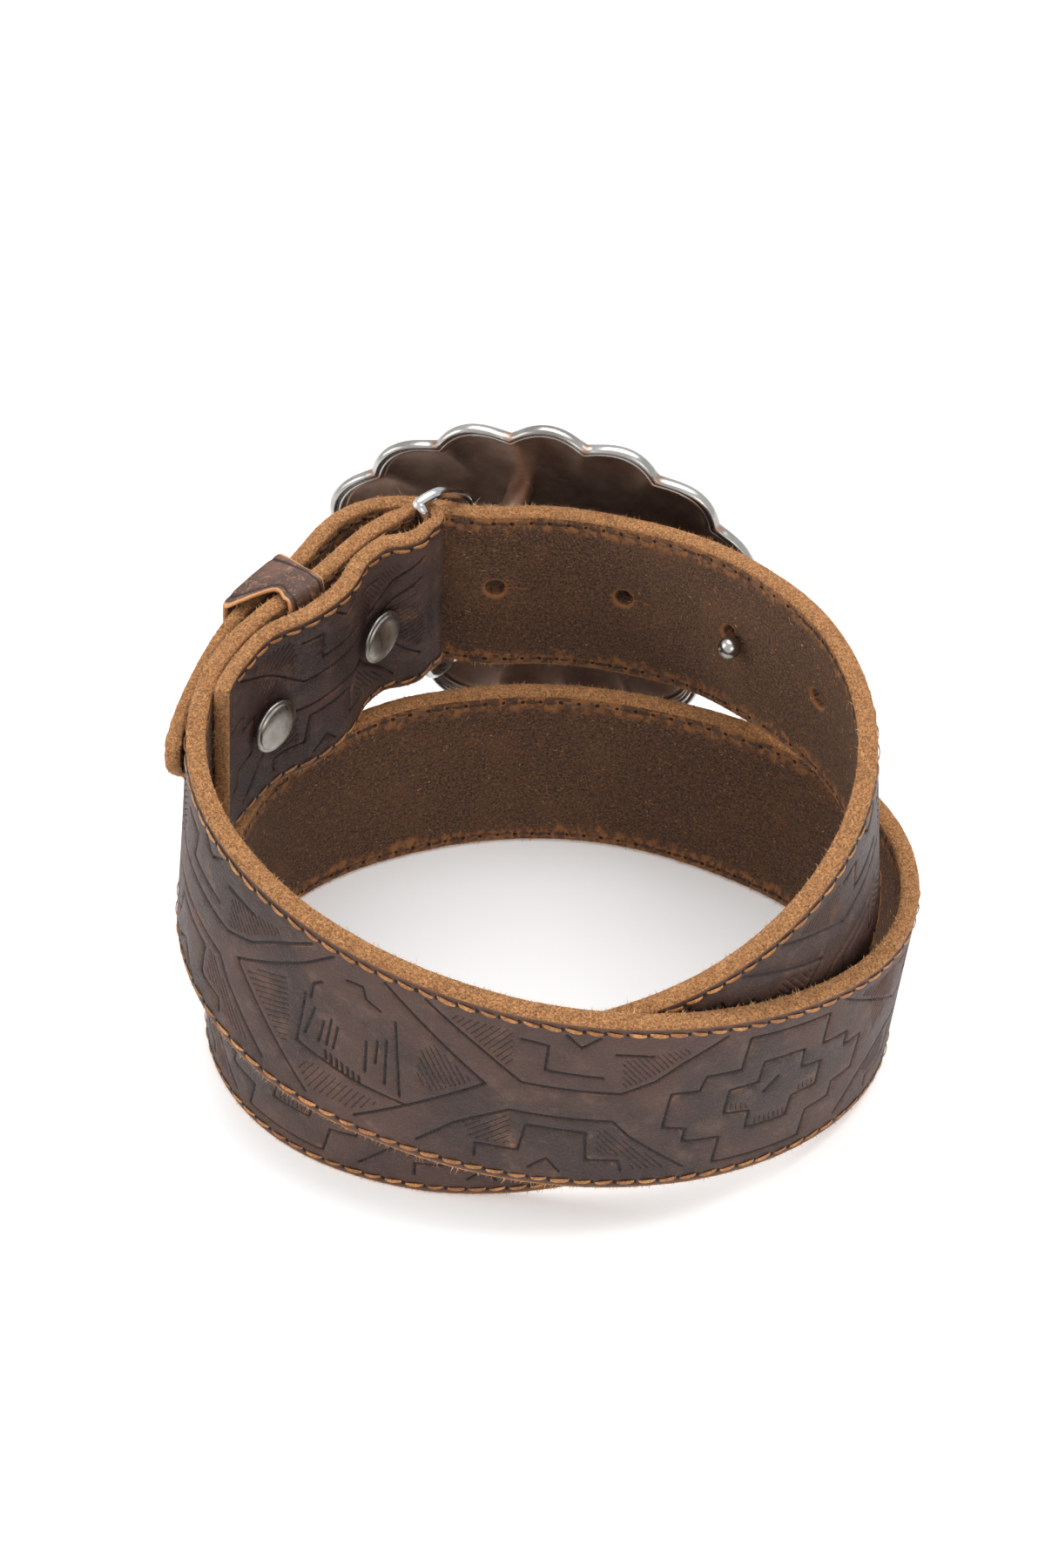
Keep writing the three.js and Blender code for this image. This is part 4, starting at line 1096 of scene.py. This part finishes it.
def keeper_ring(share, is_outer):
    """Closed line on the keeper's inner or outer face, a share of the way across its width."""
    tip_u = u_of(KEEPER_TIP_TURNS[0] + (KEEPER_TIP_TURNS[1] - KEEPER_TIP_TURNS[0]) * share)
    first_u = u_of(KEEPER_FIRST_TURNS[0] + (KEEPER_FIRST_TURNS[1] - KEEPER_FIRST_TURNS[0]) * share)
    side = KEEPER_CLEARANCE + (KEEPER_THICKNESS if is_outer else 0)
    under = KEEPER_CLEARANCE + (KEEPER_UNDERSIDE if is_outer else 0)
    corner = KEEPER_OUTER_CORNER if is_outer else KEEPER_INNER_CORNER
    half = STRAP_THICKNESS / 2
    reach = half + side
    high = STRAP_WIDTH + side
    route = [
        (tip_u, -under + corner, reach), (tip_u, KEEPER_LOW, reach), (tip_u, KEEPER_HIGH, reach),
        (tip_u, high - corner, reach), (tip_u, high, reach - corner), (first_u, high, half),
        (first_u, high, -reach + corner), (first_u, high - corner, -reach), (first_u, KEEPER_HIGH, -reach),
        (first_u, KEEPER_LOW, -reach), (first_u, -under + corner, -reach), (first_u, -under, -reach + corner),
        (first_u, -under, half + 1.5), (tip_u, -under, -half), (tip_u, -under, reach - corner),
    ]
    points = [place(np.array(u), np.array(h), np.array(out)) for u, h, out in route]
    return closed_curve(points, KEEPER_CURVE_STEPS)


section = []
for k in range(KEEPER_SECTION_POINTS):
    angle = 2 * math.pi * k / KEEPER_SECTION_POINTS
    across = math.copysign(abs(math.cos(angle)) ** 0.35, math.cos(angle))
    deep = math.copysign(abs(math.sin(angle)) ** 0.75, math.sin(angle))
    section.append((0.5 + 0.5 * across, 0.5 + 0.5 * deep))
keeper_verts = []
crease = []
keeper_rim = []
for share, deep in section:
    ring_in, ring_out = keeper_ring(share, False), keeper_ring(share, True)
    in_crease = deep > 0.9 and any(low < share < high for low, high in CREASES)
    in_rim = share < KEEPER_RIM or share > 1 - KEEPER_RIM
    keeper_verts.append(ring_in + (ring_out - ring_in) * (deep - (CREASE_DEPTH if in_crease else 0.0)))
    crease += [float(in_crease)] * len(ring_in)
    keeper_rim += [float(in_rim)] * len(ring_in)
ring_size = len(keeper_verts[0])
keeper_faces = []
for k in range(len(section)):
    here, following = k * ring_size, (k + 1) % len(section) * ring_size
    for j in range(ring_size):
        nxt = (j + 1) % ring_size
        keeper_faces.append((here + j, following + j, following + nxt, here + nxt))


def rubbed_keeper_grain():
    """Thin leather rubbed pinkish brown on its fine creases, with two dark creased lines and pale rims."""
    rubbed = Finish("rubbed_keeper_grain")
    solid = rubbed.solid()
    clouds = rubbed.noise(solid, 90.0, 4, 0.6)
    creases = rubbed.noise(rubbed.stretched(solid, (1, 1, 0.35)), 620.0, 5, 0.7, 1.2)
    speckle = rubbed.noise(solid, 2100.0, 3, 0.6)
    colour = rubbed.mix(rubbed.ramp(clouds, 0.38, 0.64), KEEPER_BROWN, KEEPER_PALE)
    colour = rubbed.mix(rubbed.ramp(creases, 0.52, 0.66, 0, 0.7), colour, KEEPER_RUBBED)
    colour = rubbed.mix(rubbed.ramp(speckle, 0.60, 0.70, 0, 0.5), colour, KEEPER_SPECKLE)
    colour = rubbed.mix(rubbed.ramp(rubbed.number("crease"), 0.2, 0.9), colour, CREASE_BLACK)
    colour = rubbed.mix(rubbed.number("rim"), colour, rubbed.mix(creases, EDGE_DARK, EDGE_TAN))
    relief = rubbed.bump(creases, 0.6, 0.0004)
    shine = rubbed.ramp(clouds, 0.3, 0.7, 0.5, 0.75)
    return rubbed.wear(Base_Color=colour, Roughness=shine, Normal=relief, Specular_IOR_Level=0.35)


keeper_points = np.concatenate(keeper_verts)
keeper = mesh_object("keeper_strip", keeper_points, keeper_faces, [rubbed_keeper_grain()])
put_numbers(keeper.data, "crease", crease)
put_numbers(keeper.data, "rim", keeper_rim)
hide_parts("keeper_loop")

# Snap fasteners
# Each is a pressed steel cap with a rolled rim, brushed and a little scratched, riveted through both layers
# of the folded-back end. The hidden halves on the outer side are plain discs.
CAP_RADIUS = 5.1
CAP_HEIGHT = 1.6
CAP_CROWN_RADIUS = 4.45
CAP_CROWN_START = 0.86
CAP_CROWN_STEPS = 12
CAP_SIDES = 48
# turn of the strap and height of each cap
SNAPS = [(173.6, 18.3), (141.5, 19.0)]
STEEL_DARK = (0.30, 0.275, 0.245, 1)
STEEL_PALE = (0.50, 0.47, 0.43, 1)
STEEL_SCRATCH = (0.12, 0.10, 0.085, 1)


def brushed_steel():
    """Grey steel, smudged, with fine dark scratches."""
    steel = Finish("brushed_steel")
    solid = steel.solid()
    streaks = steel.noise(steel.stretched(solid, (1, 1, 0.06)), 2600.0, 4, 0.7)
    smudge = steel.noise(solid, 260.0, 4, 0.6)
    colour = steel.mix(steel.ramp(smudge, 0.35, 0.7), STEEL_DARK, STEEL_PALE)
    colour = steel.mix(steel.ramp(streaks, 0.62, 0.70, 0, 0.5), colour, STEEL_SCRATCH)
    shine = steel.ramp(streaks, 0.3, 0.7, 0.26, 0.44)
    relief = steel.bump(streaks, 0.12, 0.0001)
    return steel.wear(Base_Color=colour, Metallic=1.0, Roughness=shine, Normal=relief)


def lathe(profile, sides):
    """Vertices and faces of a turned shape; the profile is (radius, height) from the axis to the axis."""
    verts = [(0, 0, profile[0][1])]
    for radius, height in profile[1:-1]:
        for j in range(sides):
            angle = 2 * math.pi * j / sides
            verts.append((radius * math.cos(angle), radius * math.sin(angle), height))
    verts.append((0, 0, profile[-1][1]))
    faces = [(0, 1 + (j + 1) % sides, 1 + j) for j in range(sides)]
    faces += ring_quads(1, len(profile) - 2, sides)
    start = 1 + (len(profile) - 3) * sides
    faces += [(start + j, start + (j + 1) % sides, len(verts) - 1) for j in range(sides)]
    return np.array(verts), faces


cap_profile = [(0, -0.6), (1.7, -0.6), (1.7, 0.05), (4.55, 0.05), (4.9, 0.12), (CAP_RADIUS, 0.38),
               (5.06, 0.62), (4.86, 0.78), (4.62, 0.80), (CAP_CROWN_RADIUS, CAP_CROWN_START)]
for step in range(1, CAP_CROWN_STEPS):
    angle = math.pi / 2 * step / CAP_CROWN_STEPS
    rise = (CAP_HEIGHT - CAP_CROWN_START) * math.sin(angle) ** 0.9
    cap_profile.append((CAP_CROWN_RADIUS * math.cos(angle), CAP_CROWN_START + rise))
cap_profile.append((0, CAP_HEIGHT))
steel = brushed_steel()
for number, (turn, height) in enumerate(SNAPS, start=1):
    cut = layer_cuts(np.array([turn]))[0]
    inward = Vector((-cut[2], -cut[3], 0))
    middle = Vector(place(np.array(u_of(turn)), np.array(height), np.array(0.0)))
    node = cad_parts[f"snap_cap_{number}"]
    crown = max((node.matrix_world @ v.co - middle).dot(inward) for v in node.data.vertices)
    seat = middle + inward * (crown - CAP_HEIGHT * MM)
    turned = inward.to_track_quat("Z", "Y")
    verts, faces = lathe(cap_profile, CAP_SIDES)
    verts = [seat + turned @ (Vector(v) * MM) for v in verts]
    cap = mesh_object(f"snap_cap_dome_{number}", verts, faces, [steel])
    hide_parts(f"snap_cap_{number}")
    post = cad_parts[f"snap_post_{number}"]
    for material_slot in post.material_slots:
        material_slot.material = steel

# Buckle plate
# A cast plate with sixteen lobes, domed and fluted at the front and hollow behind. The back was left as cast
# and has darkened, while its rolled rim is polished silver. The hook and two lugs are soldered on.
PLATE_CENTRE = Vector((-1.263, 50.297, 49.2))
PLATE_AZIMUTH = math.radians(-12.9)
PLATE_TILT = math.radians(5.5)
PLATE_HALF_LENGTH = 43.4
PLATE_HALF_HEIGHT = 33.3
PLATE_BEND = 0.11
LOBES = 16
LOBE_STEPS = 14
LOBE_SAG = 3.0
CUSP_INSET = 2.0
CUSP_SHARPNESS = 9
FIRST_CUSP = 79
DOME_DEPTH = 6.0
SHELL_THICKNESS = 1.6
RIM_START = 0.94
RIM_FOOT = 0.93
INNERMOST = 0.06
OVAL_SCALE = 0.985
CUSP_DIP = 0.3
FLUTE_DEPTH = 1.1
# place of each lug and the height of its top, along, up and out from the plate's middle
UPPER_LUG = (-5, 16, 5.0)
LOWER_LUG = (-5, -16, 2.2)
HOOK_ROOT = (34.5, 8.3, -1.4)
HOOK_ROUTE = [(39.6, -4.0, 57.6), (40.0, -9.0, 57.6), (39.2, -12.5, 57.9), (38.0, -17.5, 58.6),
              (36.8, -23.0, 59.4)]
HOOK_RADIUS = 1.2
BALL_RADIUS = 2.1
BALL_STEPS = 16
TURNED_SIDES = 28
CAST_DARK = (0.24, 0.150, 0.110, 1)
CAST_BROWN = (0.46, 0.31, 0.235, 1)
CAST_STREAK = (0.58, 0.43, 0.34, 1)
SILVER = (0.46, 0.445, 0.425, 1)
SILVER_TARNISH = (0.23, 0.215, 0.20, 1)

long_way = Vector((math.cos(PLATE_AZIMUTH), math.sin(PLATE_AZIMUTH), 0))
outward_way = Vector((-math.sin(PLATE_AZIMUTH), math.cos(PLATE_AZIMUTH), 0))
high_way = outward_way * math.sin(PLATE_TILT) + Vector((0, 0, math.cos(PLATE_TILT)))
strap_way = long_way.cross(high_way)


def on_plate(u, v, w):
    return (PLATE_CENTRE + long_way * u + high_way * v + strap_way * w) * MM


half_length = PLATE_HALF_LENGTH - CUSP_INSET
half_height = PLATE_HALF_HEIGHT - CUSP_INSET
angles = np.linspace(0, 2 * math.pi, 721)
ellipse = np.stack([half_length * np.cos(angles), half_height * np.sin(angles)], axis=1)
walked = np.concatenate([[0], np.cumsum(np.linalg.norm(np.diff(ellipse, axis=0), axis=1))])
cusp_places = (walked[FIRST_CUSP * 2] + walked[-1] * np.arange(LOBES) / LOBES) % walked[-1]
cusps = np.stack([np.interp(cusp_places, walked, ellipse[:, k]) for k in (0, 1)], axis=1)
plate_outline = []
cusp_share = []
lobe_swell = []
for i in range(LOBES):
    start, end = cusps[i], cusps[(i + 1) % LOBES]
    lobe_out = (start + end) / np.linalg.norm(start + end)
    for step in range(LOBE_STEPS):
        share = step / LOBE_STEPS
        swell = 4 * share * (1 - share)
        plate_outline.append(start + (end - start) * share + lobe_out * LOBE_SAG * swell)
        cusp_share.append(max(0.0, 1 - min(share, 1 - share) * CUSP_SHARPNESS))
        lobe_swell.append(swell)
plate_outline = np.array(plate_outline)
cusp_share = np.array(cusp_share)
lobe_swell = np.array(lobe_swell)


def dome(share):
    return -DOME_DEPTH * max(0.0, 1 - (share / RIM_START) ** 2) ** 0.6


# share of the outline, height over the rim's plane, and polish: hollow back, rolled rim, then front
plate_rings = [(share, dome(share), 0.0) for share in np.linspace(INNERMOST, 0.90, 22)]
plate_rings += [(0.915, dome(0.915), 0.0), (0.928, dome(0.928), 0.1), (0.934, -0.9, 0.3), (0.937, 0.1, 0.8),
                (0.941, 0.62, 1.0), (0.947, 0.82, 1.0), (0.953, 0.62, 0.5), (0.957, 0.60, 0.35),
                (0.960, 0.85, 1.0), (0.967, 1.08, 1.0), (0.977, 1.12, 1.0), (0.987, 0.92, 1.0),
                (0.995, 0.5, 1.0), (1.0, -0.1, 1.0), (0.997, -0.75, 1.0), (0.990, -1.25, 1.0),
                (0.978, -1.5, 1.0), (0.966, -1.55, 0.9)]
back_and_rim_rings = len(plate_rings)
plate_rings += [(share, dome(share) - SHELL_THICKNESS, 0.6) for share in np.linspace(RIM_FOOT, INNERMOST, 30)]
oval_reach = np.hypot(plate_outline[:, 0] / PLATE_HALF_LENGTH, plate_outline[:, 1] / PLATE_HALF_HEIGHT)
plate_oval = plate_outline / oval_reach[:, None] * OVAL_SCALE
plate_verts = [on_plate(0, 0, -DOME_DEPTH)]
polish = [0.0]
for ring, (share, w, shine_share) in enumerate(plate_rings):
    scalloped = float(smooth(share, 0.5, RIM_FOOT))
    shaped = (plate_oval + (plate_outline - plate_oval) * scalloped) * share
    rim_dip = CUSP_DIP * cusp_share * float(smooth(share, RIM_FOOT, 0.98))
    if ring >= back_and_rim_rings:
        fluted = float(smooth(share, 0.36, 0.62) - smooth(share, 0.80, RIM_FOOT))
        rim_dip = rim_dip + FLUTE_DEPTH * lobe_swell * fluted
        shine_share = 0.64 + 0.3 * lobe_swell - 0.2 * float(abs(share - 0.34) < 0.03)
    for (x, y), dip in zip(shaped, rim_dip):
        plate_verts.append(on_plate(x, y, w + PLATE_BEND * x * x / 100 - dip))
    polish += list(np.clip(shine_share * (1 - 0.75 * cusp_share * float(share > RIM_FOOT)), 0, 1))
plate_verts.append(on_plate(0, 0, -DOME_DEPTH - SHELL_THICKNESS))
polish.append(0.75)
plate_sides = len(plate_outline)
plate_last = len(plate_verts) - 1
plate_faces = []
for j in range(plate_sides):
    nxt = (j + 1) % plate_sides
    plate_faces.append((0, 1 + j, 1 + nxt))
    for i in range(len(plate_rings) - 1):
        a, b = 1 + i * plate_sides + j, 1 + i * plate_sides + nxt
        plate_faces.append((a, a + plate_sides, b + plate_sides, b))
    plate_faces.append((plate_last, plate_last - plate_sides + nxt, plate_last - plate_sides + j))


def smooth_route(route, steps):
    """Points of an open smooth curve through the route."""
    route = [Vector(p) for p in route]
    ends = [route[0] * 2 - route[1]] + route + [route[-1] * 2 - route[-2]]
    result = []
    for a, b, c, d in zip(ends, ends[1:], ends[2:], ends[3:]):
        result += [curve_point(a, b, c, d, step / steps) for step in range(steps)]
    return result + [route[-1]]


def tube(route, radius, sides):
    """Round wire with closed ends along a route in mm."""
    verts = []
    side = (route[1] - route[0]).orthogonal().normalized()
    for i, p in enumerate(route):
        ahead_way = (route[min(i + 1, len(route) - 1)] - route[max(i - 1, 0)]).normalized()
        side = (side - ahead_way * side.dot(ahead_way)).normalized()
        other = ahead_way.cross(side)
        for j in range(sides):
            angle = 2 * math.pi * j / sides
            verts.append((p + (side * math.cos(angle) + other * math.sin(angle)) * radius) * MM)
    faces = ring_quads(0, len(route), sides)
    faces.append(tuple(range(sides))[::-1])
    faces.append(tuple(range(len(verts) - sides, len(verts))))
    return verts, faces


def add_shape(verts, faces, shine_share):
    first = len(plate_verts)
    plate_verts.extend(verts)
    polish.extend([shine_share] * len(verts))
    plate_faces.extend(tuple(i + first for i in f) for f in faces)


hook_line = [on_plate(*HOOK_ROOT) / MM] + [Vector(p) + PHOTO_MIDDLE for p in HOOK_ROUTE]
add_shape(*tube(smooth_route(hook_line, 6), HOOK_RADIUS, 16), 0.8)
ball_profile = []
for k in range(BALL_STEPS + 1):
    angle = math.pi * k / BALL_STEPS
    ball_profile.append((BALL_RADIUS * math.sin(angle), -BALL_RADIUS * math.cos(angle)))
verts, faces = lathe(ball_profile, TURNED_SIDES)
add_shape([(hook_line[-1] + Vector(v)) * MM for v in verts], faces, 1.0)
for u, v, top in (UPPER_LUG, LOWER_LUG):
    lug_profile = [(0, -DOME_DEPTH + 0.6), (2.7, -DOME_DEPTH + 0.6), (2.6, -DOME_DEPTH + 1.4),
                   (2.4, -DOME_DEPTH + 2.2), (2.4, top - 0.8), (2.1, top - 0.25), (1.5, top), (0, top)]
    verts, faces = lathe(lug_profile, TURNED_SIDES)
    add_shape([on_plate(u + x, v + y, w) for x, y, w in verts], faces, 0.35)


def aged_silver():
    """Brown cast metal where the polish is 0, and lightly tarnished silver where it is 1."""
    plate_metal = Finish("aged_silver")
    solid = plate_metal.solid()
    brushed = plate_metal.noise(plate_metal.stretched(solid, (0.12, 1, 1)), 1500.0, 4, 0.7)
    tarnish = plate_metal.noise(solid, 70.0, 5, 0.65)
    polished = plate_metal.number("polish")
    dark_back = plate_metal.mix(plate_metal.ramp(tarnish, 0.35, 0.7), CAST_DARK, CAST_BROWN)
    dark_back = plate_metal.mix(plate_metal.ramp(brushed, 0.55, 0.72, 0, 0.35), dark_back, CAST_STREAK)
    bright = plate_metal.mix(plate_metal.ramp(tarnish, 0.42, 0.66, 0, 0.7), SILVER, SILVER_TARNISH)
    colour = plate_metal.mix(plate_metal.ramp(polished, 0.15, 0.85), dark_back, bright)
    shine = plate_metal.ramp(polished, 0.0, 1.0, 0.42, 0.24)
    relief = plate_metal.bump(brushed, 0.16, 0.00015)
    return plate_metal.wear(Base_Color=colour, Metallic=1.0, Roughness=shine, Normal=relief)


plate = mesh_object("scalloped_plate", plate_verts, plate_faces, [aged_silver()])
put_numbers(plate.data, "polish", polish)
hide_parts("buckle_plate")

# Bail
# A loop of chromed wire, bent to shape. Its upright bar lies in the strap's fold, and its two feet sit in the
# plate's lugs.
BAIL_TOP = [(-18.3, -7.6, 79.3), (-17.0, -6.4, 79.7), (-15.4, -5.0, 79.6), (-13.9, -2.4, 78.1),
            (-12.5, 0.5, 75.5), (-11.2, 2.9, 73.2), (-10.3, 4.8, 70.8), (-9.8, 6.3, 68.0)]
BAIL_BOTTOM = [(-18.6, -5.4, 38.2), (-17.8, -3.2, 34.2), (-16.4, 0.0, 31.5), (-14.8, 2.6, 30.8),
               (-12.8, 4.9, 31.2)]
UPRIGHT_HEIGHTS = (40, 43, 60, 75, 78.2)
FOOT_POINTS = (-5.5, -2.7, 0.6)
FOOT_DROP = 2.4
WIRE_RADIUS = 1.05
CHROME_DULL = (0.46, 0.455, 0.45, 1)
CHROME_BRIGHT = (0.66, 0.655, 0.65, 1)

bar = bail_bar_cut()
upright = []
for z in UPRIGHT_HEIGHTS:
    raised = z - bar[6] - STRAP_WIDTH / 2
    upright.append(Vector((bar[0] + bar[4] * raised, bar[1] + bar[5] * raised, z)))


def bail_foot(u, v, top):
    return [on_plate(u + along, v, top - FOOT_DROP) / MM for along in FOOT_POINTS]


bail_route = bail_foot(*LOWER_LUG)[::-1]
bail_route += [Vector(p) + PHOTO_MIDDLE for p in BAIL_BOTTOM[::-1]]
bail_route += upright
bail_route += [Vector(p) + PHOTO_MIDDLE for p in BAIL_TOP]
bail_route += bail_foot(*UPPER_LUG)


def dull_chrome():
    """Smudged and finely scratched chrome."""
    chrome = Finish("dull_chrome")
    solid = chrome.solid()
    scratches = chrome.noise(solid, 1800.0, 4, 0.7)
    smudge = chrome.noise(solid, 220.0, 3, 0.6)
    colour = chrome.mix(chrome.ramp(smudge, 0.35, 0.7), CHROME_DULL, CHROME_BRIGHT)
    shine = chrome.ramp(scratches, 0.3, 0.75, 0.12, 0.3)
    return chrome.wear(Base_Color=colour, Metallic=1.0, Roughness=shine)


verts, faces = tube(smooth_route(bail_route, 6), WIRE_RADIUS, 20)
bail = mesh_object("wire_bail", verts, faces, [dull_chrome()])
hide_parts("buckle_bail")
